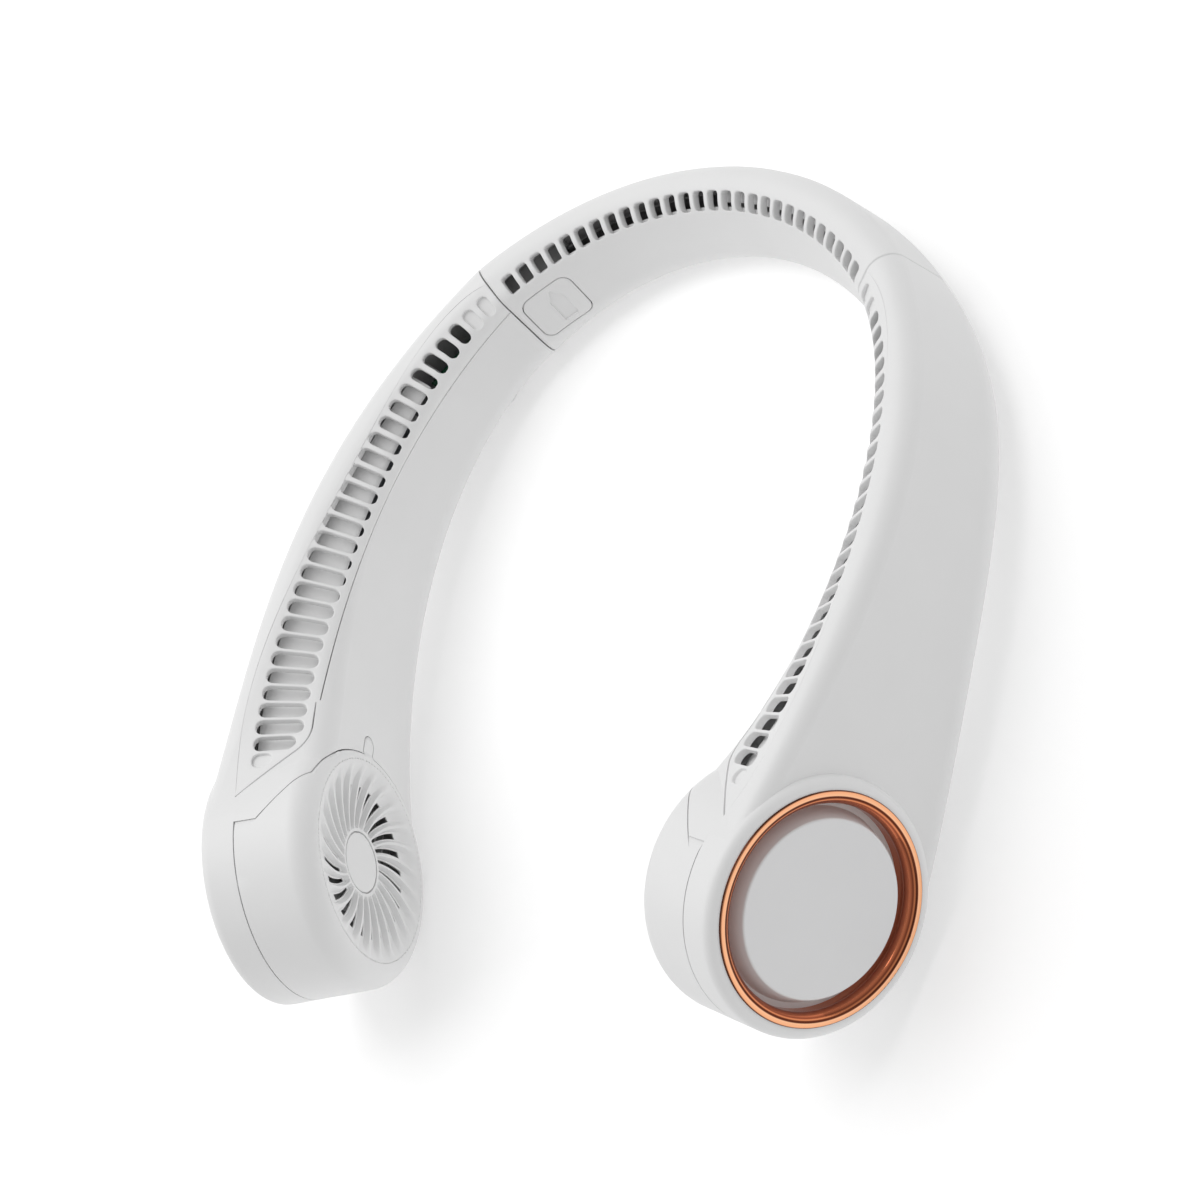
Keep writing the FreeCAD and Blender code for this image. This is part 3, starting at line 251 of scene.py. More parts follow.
def paint_ring_reflections():
    """Painted highlight and painted reflection bands in the copper ring's colour, from its bowl to its lip.
    """
    tree = MATERIALS["trim_copper"].node_tree
    distance = axis_distance(tree, laid(FAN_CENTRE), LAY @ FAN_AXIS)
    low, high = RING_REFLECTION_BANDS[0][0], RING_REFLECTION_BANDS[-1][0]
    share = add_node(tree, "ShaderNodeMapRange", From_Min=low * MM, From_Max=high * MM)
    link(tree, distance, share.inputs["Value"])
    ramp = tree.nodes.new("ShaderNodeValToRGB")
    link(tree, share.outputs["Result"], ramp.inputs["Fac"])
    for k, (radius, colour) in enumerate(RING_REFLECTION_BANDS):
        place = (radius - low) / (high - low)
        stop = ramp.color_ramp.elements[k] if k < 2 else ramp.color_ramp.elements.new(place)
        stop.position, stop.color = place, (*colour, 1.0)
    # The ramp lays the painted reflections and the painted lip highlight into the ring's base colour
    link(tree, ramp.outputs["Color"], tree.nodes["Principled BSDF"].inputs["Base Color"])


paint_ring_reflections()


# Surfaces of the band, as the part's lofts give them

def tangent_angle(first, second):
    """Direction of the outline's normal on the straight run between two corner circles."""
    out, up = second[0] - first[0], second[1] - first[1]
    return math.atan2(up, out) - math.acos((first[2] - second[2]) / math.hypot(out, up))


def on_circle(circle, angle):
    return np.array([circle[0] + circle[2] * math.cos(angle), circle[1] + circle[2] * math.sin(angle)])


def in_section(at, points):
    """Points (out, up) of a section, in the band's frame."""
    point, normal, _ = path(at)
    points = np.asarray(points)
    return point + points[:, :1] * normal + points[:, 1:] * UP


def outline(circles, steps=40):
    """Closed outline of arcs and straight runs round the corner circles."""
    angles = [tangent_angle(circle, circles[(i + 1) % 4]) for i, circle in enumerate(circles)]
    points = []
    for i, circle in enumerate(circles):
        start, end = angles[i - 1], angles[i]
        while end < start:
            end += 2 * math.pi
        points += [on_circle(circle, a) for a in np.linspace(start, end, steps)]
        reach = on_circle(circles[(i + 1) % 4], end)
        points += [points[-1] + (reach - points[-1]) * share for share in np.linspace(0, 1, steps)[1:-1]]
    return np.array(points)


def through(places, values, wanted):
    """The polynomial through values at places, which the part's lofts follow too."""
    places, wanted = np.asarray(places, float), np.asarray(wanted, float)
    values = np.asarray(values, float)
    result = 0.0
    for i, place in enumerate(places):
        others = np.delete(places, i)
        weight = np.prod((wanted[:, None] - others) / (place - others), axis=1)
        result = result + weight.reshape((-1,) + (1,) * (values.ndim - 1)) * values[i]
    return result


PAST_EDGE, LEAST_WIDTH, NORMAL_STEP = 1.03, 0.001, 0.15
NO_LENGTH, NO_AREA, TINY_STEP = 1e-9, 1e-12, 1e-7


class Skin:
    """A surface over a run along the band and a distance across it, read from a fine table of points."""

    def __init__(self, runs, table, low, high):
        self.runs, self.table, self.low, self.high = runs, table, low, high

    def spots(self, run, across):
        run, across = np.asarray(run, float), np.asarray(across, float)
        low, high = np.interp(run, self.runs, self.low), np.interp(run, self.runs, self.high)
        rows, columns = self.table.shape[:2]
        i = np.clip((run - self.runs[0]) / (self.runs[-1] - self.runs[0]), 0, 1) * (rows - 1)
        j = np.clip((across - low) / np.maximum(high - low, LEAST_WIDTH), 0, PAST_EDGE) * (columns - 1)
        i0, j0 = np.minimum(i.astype(int), rows - 2), np.minimum(j.astype(int), columns - 2)
        a, b = (i - i0)[..., None], (j - j0)[..., None]
        near = self.table[i0, j0] * (1 - b) + self.table[i0, j0 + 1] * b
        far = self.table[i0 + 1, j0] * (1 - b) + self.table[i0 + 1, j0 + 1] * b
        return near * (1 - a) + far * a

    def normals(self, run, across):
        step = NORMAL_STEP
        ahead = self.spots(run + step, across) - self.spots(run - step, across)
        over = self.spots(run, across + step) - self.spots(run, across - step)
        normal = np.cross(over, ahead)
        return normal / np.maximum(np.linalg.norm(normal, axis=-1, keepdims=True), NO_LENGTH)


class SleeveSkin(Skin):
    """Skin of the sleeve, whose distance across runs on round the section."""

    def spots(self, run, across):
        whole = np.interp(np.asarray(run, float), self.runs, self.high)
        return super().spots(run, np.mod(across, whole))


def vent_axes(at):
    """Directions in across the vent face and along it, outwards, at a run."""
    _, normal, _ = path(at)
    inward = -normal * math.cos(VENT_ANGLE) - UP * math.sin(VENT_ANGLE)
    return inward, normal * math.sin(VENT_ANGLE) - UP * math.cos(VENT_ANGLE)


TABLE_RUNS, TABLE_COLUMNS = 420, 420
CROWN, VENT_LOW = math.radians(65.0), -3.0


def sleeve_skin():
    """Right half of the sleeve; the distance across starts on the vent line and goes towards the neck."""
    runs = np.linspace(0, SEAM_AT, TABLE_RUNS)
    table, low, high = [], [], []
    for run in runs:
        grown = (run / SEAM_AT) ** 2
        circles = [tuple(a + (b - a) * grown for a, b in zip(rear, seam))
                   for rear, seam in zip(SECTIONS["rear"], SECTIONS["seam"])]
        points = outline(circles)
        along = points @ np.array([math.sin(VENT_ANGLE), -math.cos(VENT_ANGLE)])
        height = points @ np.array([math.cos(VENT_ANGLE), math.sin(VENT_ANGLE)])
        start = int(np.argmin(np.where(height < VENT_LOW, math.inf, np.abs(along))))
        points = np.roll(points, -start, axis=0)
        points = np.vstack([points, points[:1]])
        length = np.r_[0, np.cumsum(np.linalg.norm(np.diff(points, axis=0), axis=1))]
        even = np.linspace(0, length[-1], TABLE_COLUMNS)
        points = np.stack([np.interp(even, length, points[:, k]) for k in (0, 1)], axis=1)
        table.append(in_section(run, points))
        low.append(0.0)
        high.append(length[-1])
    return SleeveSkin(runs, np.array(table), np.array(low), np.array(high))


def strip_skin():
    """Right vent strip; the distance across is taken along the vent face, towards the neck."""
    rows, steps = [], 60
    for station, at in STATIONS.items():
        crest, vent = SECTIONS[station][:2]
        first, last = tangent_angle(crest, vent) % (2 * math.pi), math.radians(STRIP_ANGLES[station])
        crown = [on_circle(crest, a) for a in np.linspace(first - CROWN, first, steps)]
        start = on_circle(vent, first)
        line = [crown[-1] + (start - crown[-1]) * share for share in np.linspace(0, 1, steps)[1:-1]]
        arc = [on_circle(vent, a) for a in np.linspace(first, last, steps)]
        rows.append(in_section(at, crown + line + arc))
    rows = np.array(rows)
    middle = rows.mean(axis=1)
    chord = np.r_[0, np.cumsum(np.linalg.norm(np.diff(middle, axis=0), axis=1))]
    runs = np.linspace(STATIONS["seam"], FAN_AT, TABLE_RUNS)
    curve = through(list(STATIONS.values()), chord, runs)
    points = through(chord, rows, curve)
    table, low, high = [], [], []
    for run, row in zip(runs, points):
        across = -(row - path(run)[0]) @ vent_axes(run)[1]
        across = np.maximum.accumulate(across + np.arange(len(across)) * TINY_STEP)
        even = np.linspace(across[0], across[-1], TABLE_COLUMNS)
        table.append(np.stack([np.interp(even, across, row[:, k]) for k in range(3)], axis=1))
        low.append(across[0])
        high.append(across[-1])
    return Skin(runs, np.array(table), np.array(low), np.array(high))


# Panels: a grid over a skin with rounded holes and pockets, closed by its underside and its edges

def nearest(core, points):
    """Nearest point of a convex outline to each outside point, and the direction from it."""
    best, gap = None, None
    for a, b in zip(core, np.roll(core, -1, axis=0)):
        line = b - a
        share = np.clip(((points - a) @ line) / max(line @ line, NO_AREA), 0, 1)
        foot = a + share[:, None] * line
        away = np.linalg.norm(points - foot, axis=1)
        if best is None:
            best, gap = foot, away
        else:
            closer = (away < gap)[:, None]
            best, gap = np.where(closer, foot, best), np.minimum(gap, away)
    way = points - best
    return best, way / np.maximum(np.linalg.norm(way, axis=1, keepdims=True), NO_LENGTH)


def rectangle(along, across, wide, high):
    """Corners of a rectangle about a place, from its half sizes."""
    return np.array([(along - wide, across - high), (along + wide, across - high),
                     (along + wide, across + high), (along - wide, across + high)])


def clipped(core, point, normal):
    """The part of a convex outline on the side of a line that its normal points to."""
    kept = []
    for a, b in zip(core, np.roll(core, -1, axis=0)):
        da, db = (a - point) @ normal, (b - point) @ normal
        if da >= 0:
            kept.append(a)
        if da * db < 0:
            kept.append(a + (b - a) * da / (da - db))
    return np.array(kept)


EASE_ANGLES = np.linspace(0, math.pi / 2, 4)


def border(i0, i1, j0, j1):
    """Places round a block of a grid."""
    loop = [(i, j0) for i in range(i0, i1)] + [(i1, j) for j in range(j0, j1)]
    return loop + [(i, j1) for i in range(i1, i0, -1)] + [(i0, j) for j in range(j1, j0, -1)]


class Panel:
    """Mesh under construction: points in the band's frame and faces."""

    def __init__(self, skin, thick):
        self.skin, self.thick = skin, thick
        self.points, self.faces = [], []

    def add(self, points):
        start = len(self.points)
        self.points.extend(np.asarray(points).tolist())
        return list(range(start, len(self.points)))

    def bridge(self, first, second):
        """Faces between two closed loops of as many points."""
        for k in range(len(first)):
            n = (k + 1) % len(first)
            self.faces.append((first[k], first[n], second[n], second[k]))

    def grid(self, runs, across, depth, closed=False):
        """Top and underside over rows of places at each run; the depth lowers the top."""
        run = np.repeat(np.array(runs)[:, None], across.shape[1], axis=1)
        self.run, self.across, self.closed = run, across, closed
        spots, normals = self.skin.spots(run, across), self.skin.normals(run, across)
        shape = run.shape
        self.top = np.array(self.add((spots - normals * depth[..., None]).reshape(-1, 3))).reshape(shape)
        self.under = np.array(self.add((spots - normals * self.thick).reshape(-1, 3))).reshape(shape)
        self.skip_top, self.skip_under = set(), set()

    def hole(self, i0, i1, j0, j1, core, radius, ease, inward, floor=None, to_plane=None, from_plane=None):
        """Rounded hole through the panel, or a pocket with a floor, in place of some cells of the grid."""
        loop = border(i0, i1, j0, j1)
        rows, columns = [p[0] for p in loop], [p[1] for p in loop]
        plane = np.stack([self.run[rows, columns], self.across[rows, columns]], axis=1)
        if to_plane:
            plane = to_plane(self.skin.spots(plane[:, 0], plane[:, 1]))
        foot, way = nearest(core, plane)
        last = self.top[rows, columns].tolist()
        steps = [(ease * (1 - math.sin(a)), ease * (1 - math.cos(a))) for a in EASE_ANGLES]
        steps.append((0.0, self.thick if floor is None else floor))
        for grow, depth in steps:
            place = foot + way * (radius + grow)
            if from_plane:
                place = from_plane(place)
            ring = self.add(self.skin.spots(place[:, 0], place[:, 1]) + inward * depth)
            self.bridge(last, ring)
            last = ring
        cells = {(i, j) for i in range(i0, i1) for j in range(j0, j1)}
        self.skip_top |= cells
        if floor is None:
            self.skip_under |= cells
            self.bridge(last, self.under[rows, columns].tolist())
        else:
            self.faces.append(tuple(last))

    def close(self):
        """The grid's own faces and the walls round its edges."""
        top, under = self.top, self.under
        rows, columns = top.shape
        for i in range(rows - 1):
            for j in range(columns if self.closed else columns - 1):
                n = (j + 1) % columns
                if (i, j) not in self.skip_top:
                    self.faces.append((top[i, j], top[i + 1, j], top[i + 1, n], top[i, n]))
                if (i, j) not in self.skip_under:
                    self.faces.append((under[i, j], under[i, n], under[i + 1, n], under[i + 1, j]))
        if self.closed:
            for i in (0, rows - 1):
                self.bridge(top[i].tolist(), under[i].tolist())
        else:
            edge = border(0, rows - 1, 0, columns - 1)
            self.bridge([top[p] for p in edge], [under[p] for p in edge])


SHARP, WELD, SPECK = math.radians(38.0), 0.005, 0.001


def make_piece(name, panel, mirror, material):
    """Mesh object of a panel, mirrored for the left side and laid as the part lies."""
    points = laid(np.asarray(panel.points, float) * (-1 if mirror else 1, 1, 1))
    mesh = bpy.data.meshes.new(name)
    mesh.from_pydata(points.tolist(), [], [tuple(int(k) for k in face) for face in panel.faces])
    work = bmesh.new()
    work.from_mesh(mesh)
    bmesh.ops.remove_doubles(work, verts=work.verts, dist=WELD * MM)
    bmesh.ops.dissolve_degenerate(work, edges=work.edges, dist=SPECK * MM)
    bmesh.ops.delete(work, geom=[v for v in work.verts if not v.link_faces], context="VERTS")
    bmesh.ops.recalc_face_normals(work, faces=work.faces)
    work.to_mesh(mesh)
    work.free()
    mesh.shade_smooth()
    mesh.set_sharp_from_angle(angle=SHARP)
    mesh.materials.append(material)
    piece = bpy.data.objects.new(name, mesh)
    bpy.context.scene.collection.objects.link(piece)
    return piece


# Vent strips

ARM_PITCH, FIRST_SLOT, ARM_SLOTS, BLIND_SLOTS, POCKET = 4.71, 3.8, 30, 2, 0.9
SLOT_TABLE = {
    "seam": (4.9, 3.05, -0.1), "front": (8.0, 3.25, -1.15),
    "waist": (11.4, 3.9, -0.6), "tail": (11.9, 3.9, 0.95),
}
ROUND_SHARE, END_RIB = 0.46, 1.6
END_AT, END_DROP, END_SLOPE, END_ROUND, END_LEAD = 194.8, 7.0, math.radians(49.0), 10.0, 12.0
STRIP_EASE, STRIP_EDGE, STRIP_CLOSE, SLOT_MARGIN = 0.3, 0.15, 0.15, 0.55
CELL_STEPS, SLOT_ROWS, SIDE_ROWS, LEAST_SHARE, APEX_STEP = 8, 12, 4, 0.05, 0.02
EDGE_START, EDGE_STEP, EDGE_DEGREE = 0.2, 1.5, 7


def slot_at(run):
    """Slot's length, width and outward shift at a run along the arm."""
    places = [STATIONS[name] for name in SLOT_TABLE]
    values = np.array(list(SLOT_TABLE.values()))
    return [np.interp(run, places, values[:, k]) if run <= places[-1] else values[-1, k] for k in range(3)]


def part_edge():
    """The parting line's distance across along the arm, read off the CAD strip."""
    mesh = nodes["right_vent_strip"].data
    points = (np.array([vertex.co for vertex in mesh.vertices]) / MM - LAY_SHIFT) @ LAY
    pairs = np.array([edge.vertices[:] for edge in mesh.edges])
    first, second = points[pairs[:, 0]], points[pairs[:, 1]]
    runs, edge = np.arange(STATIONS["seam"] + EDGE_START, END_AT + 2 * END_LEAD, EDGE_STEP), []
    for run in runs:
        point, _, heading = path(run)
        here, there = (first - point) @ heading, (second - point) @ heading
        crosses = (here * there < 0) & (np.linalg.norm(first - point, axis=1) < FAN_DEPTH)
        if not crosses.any():
            break
        share = (here / (here - there))[crosses, None]
        spots = first[crosses] + (second - first)[crosses] * share
        edge.append(float((-(spots - point) @ vent_axes(run)[1]).min()))
    runs = runs[:len(edge)]
    even = np.polynomial.Polynomial.fit(runs, edge, EDGE_DEGREE)
    return lambda run: float(even(min(run, runs[-1])))


def end_curve(run):
    """Distance across at which the strip's slanted end lies, for runs past its start."""
    reach, lead = run - END_AT, END_ROUND * math.tan(END_SLOPE / 2)
    if reach < -END_LEAD:
        return math.inf
    if reach < -lead:
        return END_DROP
    if reach < lead * math.cos(END_SLOPE):
        return END_DROP - END_ROUND + math.sqrt(END_ROUND ** 2 - (reach + lead) ** 2)
    return END_DROP - reach * math.tan(END_SLOPE)


def strip_rows(skin, edge_at, run):
    """Distances across of the grid's rows at a run."""
    outer = edge_at(run)
    inner = min(float(np.interp(run, skin.runs, skin.high)) + STRIP_CLOSE, end_curve(run))
    inner = max(inner, outer)
    length, _, shift = slot_at(run)
    middle, least = (outer + inner) / 2, (inner - outer) * LEAST_SHARE
    first = min(max(outer + 2 * STRIP_EDGE, -shift - length / 2 - SLOT_MARGIN), middle - least)
    second = max(min(inner - 2 * STRIP_EDGE, -shift + length / 2 + SLOT_MARGIN), middle + least)
    edge = min(STRIP_EDGE, least)
    rows = [outer] + list(np.linspace(outer + edge, first, SIDE_ROWS))
    rows += list(np.linspace(first, second, SLOT_ROWS + 1))[1:]
    rows += list(np.linspace(second, inner - edge, SIDE_ROWS))[1:] + [inner]
    return rows


def make_strip(skin):
    """Right vent strip with its slots, of which the first and last are blind."""
    panel = Panel(skin, WALL)
    start, edge_at = STATIONS["seam"], part_edge()
    apex = next(run for run in np.arange(END_AT, FAN_AT, APEX_STEP) if end_curve(run) <= edge_at(run))
    places = [SEAM_AT + FIRST_SLOT + k * ARM_PITCH for k in range(ARM_SLOTS)]
    places = [place for place in places if place + ARM_PITCH / 2 < apex]
    runs = [start, start + STRIP_EDGE]
    first_line = len(runs)
    for place in places:
        runs += list(place - ARM_PITCH / 2 + ARM_PITCH * np.arange(CELL_STEPS) / CELL_STEPS)
    runs += list(np.linspace(places[-1] + ARM_PITCH / 2, apex, CELL_STEPS))
    across = np.array([strip_rows(skin, edge_at, run) for run in runs])
    depth = np.zeros(across.shape)
    depth[:, [0, -1]] = STRIP_EDGE
    depth[0, :] = STRIP_EDGE
    panel.grid(runs, across, depth)
    for k, place in enumerate(places):
        length, width, shift = slot_at(place)
        radius = width * ROUND_SHARE
        core = rectangle(place, -shift, width / 2 - radius, length / 2 - radius)
        room = END_RIB + radius
        if place + width > END_AT - END_LEAD:
            core = clipped(core, np.array([END_AT, END_DROP - room]), np.array([0.0, -1.0]))
            slant = np.array([-math.sin(END_SLOPE), -math.cos(END_SLOPE)])
            if len(core):
                core = clipped(core, np.array([END_AT, END_DROP]) + slant * room, slant)
        if len(core) < 3:
            continue
        blind = k < BLIND_SLOTS or k >= len(places) - BLIND_SLOTS
        line, row = first_line + k * CELL_STEPS, SIDE_ROWS
        panel.hole(line, line + CELL_STEPS, row, row + SLOT_ROWS, core, radius, STRIP_EASE,
                   vent_axes(place)[0], POCKET if blind else None)
    panel.close()
    return panel


# Sleeve

SLEEVE_PITCH, SLEEVE_SLOTS, SLEEVE_SLOT_WIDTH, SLOT_CORNER = 4.4, 28, 3.05, 0.9
REAR_SLOT, SEAM_SLOT = 5.0, 4.9
SLEEVE_EASE, SLEEVE_EDGE, SLEEVE_LEAD, ROUND_ROWS = 0.35, 0.3, 0.8, 56
FLAP_TURN, FLAP_WIDTH, FLAP_HEIGHT, FLAP_DROP, FLAP_ROUND, FLAP_GAP = 39.8, 14.3, 12.2, 11.8, 2.6, 0.25
NAIL_WIDTH, NAIL_HEIGHT, NAIL_POINT, NAIL_DEPTH, NAIL_SHIFT, NAIL_TRIM = 4.0, 9.0, 3.0, 0.5, 1.2, 0.35
FLAP_AT = REAR_RADIUS * math.radians(FLAP_TURN)
FLAP_POINT, FLAP_NORMAL, FLAP_HEADING = path(FLAP_AT)
FLAP_EASE, FLAP_ROOM, FLAP_CELL = 0.25, 1.0, 10
SEARCH_FROM, SEARCH_STEP, SEARCH_ROUNDS, LEAST_AREA = 4.0, 0.05, 12, 0.05
FLAP_SIDE_STEPS, FLAP_FACE_STEPS, NAIL_FLOOR_SHARES, FLAP_BACK_SHARES = 18, 8, (0.8, 0.4), (0.6, 0.25)


def to_flap(spots):
    """Places along and up from the flap's middle."""
    away = spots - (FLAP_POINT - UP * FLAP_DROP)
    return np.stack([away @ FLAP_HEADING, away @ UP], axis=1)


def from_flap(skin):
    """Finder of the runs and distances across of places on the flap."""
    step = SEARCH_STEP

    def places(plane):
        found = np.stack([FLAP_AT + plane[:, 0], SEARCH_FROM - (plane[:, 1] - FLAP_DROP)], axis=1)
        for _ in range(SEARCH_ROUNDS):
            miss = to_flap(skin.spots(found[:, 0], found[:, 1])) - plane
            ahead = (to_flap(skin.spots(found[:, 0] + step, found[:, 1])) - plane - miss) / step
            over = (to_flap(skin.spots(found[:, 0], found[:, 1] + step)) - plane - miss) / step
            area = ahead[:, 0] * over[:, 1] - ahead[:, 1] * over[:, 0]
            area = np.where(np.abs(area) < LEAST_AREA, LEAST_AREA, area)
            found[:, 0] -= (miss[:, 0] * over[:, 1] - miss[:, 1] * over[:, 0]) / area
            found[:, 1] -= (ahead[:, 0] * miss[:, 1] - ahead[:, 1] * miss[:, 0]) / area
        return found

    return places


FLAP_CORE = rectangle(0, 0, FLAP_WIDTH / 2 - FLAP_ROUND, FLAP_HEIGHT / 2 - FLAP_ROUND)


def sleeve_slot(run):
    """Length of the sleeve's slots at a run."""
    return REAR_SLOT + (SEAM_SLOT - REAR_SLOT) * (run / SEAM_AT) ** 2


def make_sleeve(skin, flap):
    """Half of the sleeve, with the hole for the flap on one side."""
    panel = Panel(skin, SLEEVE_WALL)
    count = SLEEVE_SLOTS // 2
    runs = list(SLEEVE_PITCH * np.arange(count * CELL_STEPS + 1) / CELL_STEPS)
    runs += [SEAM_AT - 2 * SLEEVE_EDGE - SLEEVE_LEAD, SEAM_AT - SLEEVE_EDGE, SEAM_AT]
    across = []
    for run in runs:
        half, whole = sleeve_slot(run) / 2 + SLOT_MARGIN, float(np.interp(run, skin.runs, skin.high))
        rows = list(np.linspace(-half, half, SLOT_ROWS + 1))
        rows += list(np.linspace(half, whole - half, ROUND_ROWS + 1))[1:-1]
        across.append(rows)
    across = np.array(across)
    depth = np.zeros(across.shape)
    depth[-1, :] = SLEEVE_EDGE
    panel.grid(runs, across, depth, closed=True)
    for k in range(count):
        place = (k + 1 / 2) * SLEEVE_PITCH
        core = rectangle(place, 0, SLEEVE_SLOT_WIDTH / 2 - SLOT_CORNER, sleeve_slot(place) / 2 - SLOT_CORNER)
        panel.hole(k * CELL_STEPS, (k + 1) * CELL_STEPS, 0, SLOT_ROWS, core, SLOT_CORNER, SLEEVE_EASE,
                   vent_axes(place)[0])
    if flap:
        first = FLAP_CELL * CELL_STEPS
        height = to_flap(skin.spots(np.full(across.shape[1], FLAP_AT), across[first]))[:, 1]
        reach = FLAP_HEIGHT / 2 + FLAP_GAP + FLAP_ROOM
        inner = range(SLOT_ROWS, SLOT_ROWS + ROUND_ROWS // 2)
        upper = max(j for j in inner if height[j] > reach)
        lower = min(j for j in inner if height[j] < -reach)
        panel.hole(first, len(runs) - 2, upper, lower, FLAP_CORE, FLAP_ROUND + FLAP_GAP, FLAP_EASE,
                   FLAP_NORMAL, None, to_flap, from_flap(skin))
    panel.close()
    return panel


def make_flap(skin):
    """Flap with eased edges and a nail recess, in rings from its edge to the recess's floor."""
    panel = Panel(skin, SLEEVE_WALL)
    places = from_flap(skin)
    square = FLAP_WIDTH
    side = np.linspace(-square, square, FLAP_SIDE_STEPS, endpoint=False)
    ring = [(x, -square) for x in side] + [(square, y) for y in side]
    ring += [(-x, square) for x in side] + [(-square, -y) for y in side]
    ring = np.array(ring)
    foot, way = nearest(FLAP_CORE, ring)
    wide, high, point, trim = NAIL_WIDTH / 2, NAIL_HEIGHT / 2, NAIL_POINT, NAIL_TRIM
    nail = np.array([(-wide + trim, -high + trim), (wide - trim, -high + trim), (wide - trim, high - point),
                     (0, high - trim), (-wide + trim, high - point)]) - (NAIL_SHIFT, 0)
    nail_foot, nail_way = nearest(nail, ring)
    ease = FLAP_EASE
    steps = [(foot + way * FLAP_ROUND, SLEEVE_WALL)]
    steps += [(foot + way * (FLAP_ROUND - ease * (1 - math.cos(a))), ease * (1 - math.sin(a)))
              for a in EASE_ANGLES]
    inner, outer = nail_foot + nail_way * (trim + ease), steps[-1][0]
    steps += [(outer + (inner - outer) * share, 0.0) for share in np.linspace(0, 1, FLAP_FACE_STEPS + 1)[1:]]
    steps += [(nail_foot + nail_way * (trim + ease * (1 - math.sin(a))), ease * (1 - math.cos(a)))
              for a in EASE_ANGLES[1:]]
    steps.append((nail_foot + nail_way * trim, NAIL_DEPTH))
    middle = nail.mean(axis=0)
    steps += [(middle + (nail_foot - middle) * share, NAIL_DEPTH) for share in NAIL_FLOOR_SHARES]
    loops = []
    for plane, depth in steps:
        found = places(plane)
        loops.append(panel.add(skin.spots(found[:, 0], found[:, 1]) + FLAP_NORMAL * depth))
    for first, second in zip(loops, loops[1:]):
        panel.bridge(first, second)
    panel.faces.append(tuple(loops[-1]))
    last = loops[0]
    for share in FLAP_BACK_SHARES:
        found = places(steps[0][0] * share)
        inside = panel.add(skin.spots(found[:, 0], found[:, 1]) + FLAP_NORMAL * SLEEVE_WALL)
        panel.bridge(last, inside)
        last = inside
    panel.faces.append(tuple(last))
    return panel


# Intake grilles: a dish of rounded slats that swirl round a boss, and the cover they sit in

RIM_RADIUS, GRILLE_DISH, GRILLE_THICK, BOSS_RADIUS = 25.0, 2.5, 1.6, 7.65
SLATS, SLAT_TURN, GRILLE_GAP, CUT_PAST = 25, math.radians(-17.0), 0.02, 4.5
SWIRL_START, SWIRL_END = 9.2, 22.0
CELL_COLUMNS, OPEN_COLUMNS = 12, 4
GRILLE_RADII = (7.7, 7.9, 8.4, 8.9, 9.4, 10.0, 10.9, 11.8, 12.7, 13.6, 14.5, 15.4, 16.3, 17.2, 18.1, 19.0,
                19.9, 20.8, 21.7, 22.6, 23.4, 24.0, 24.5, 24.8, 25.0)
OPEN_FROM, OPEN_TO = 10.0, 19.0
GROOVE_DEPTH, GROOVE_FROM, GROOVE_FULL, GROOVE_FALL, GROOVE_END = 1.3, 8.2, 9.6, 20.0, 24.7
RIB_INNER_SHARE, RIB_OUTER_SHARE = 0.45, 0.85


def ease_in(value, low, high):
    share = np.clip((value - low) / (high - low), 0, 1)
    return share * share * (3 - 2 * share)


def fan_place(points):
    """Points about the right fan's axis, in the band's frame."""
    axes = np.stack([FAN_HEADING, np.cross(FAN_AXIS, FAN_HEADING), FAN_AXIS])
    return FAN_CENTRE + np.asarray(points) @ axes


def turns(count):
    return 2 * math.pi * np.arange(count) / count


def fan_ring(panel, radius, level, count):
    """Ring of points about the fan's axis."""
    turn = turns(count)
    points = [radius * np.cos(turn), radius * np.sin(turn), np.full_like(turn, level)]
    return panel.add(fan_place(np.stack(points, axis=1)))


def dish_level(radius):
    return -FACE + GRILLE_DISH * np.clip((RIM_RADIUS - radius) / (RIM_RADIUS - BOSS_RADIUS), 0, 1)


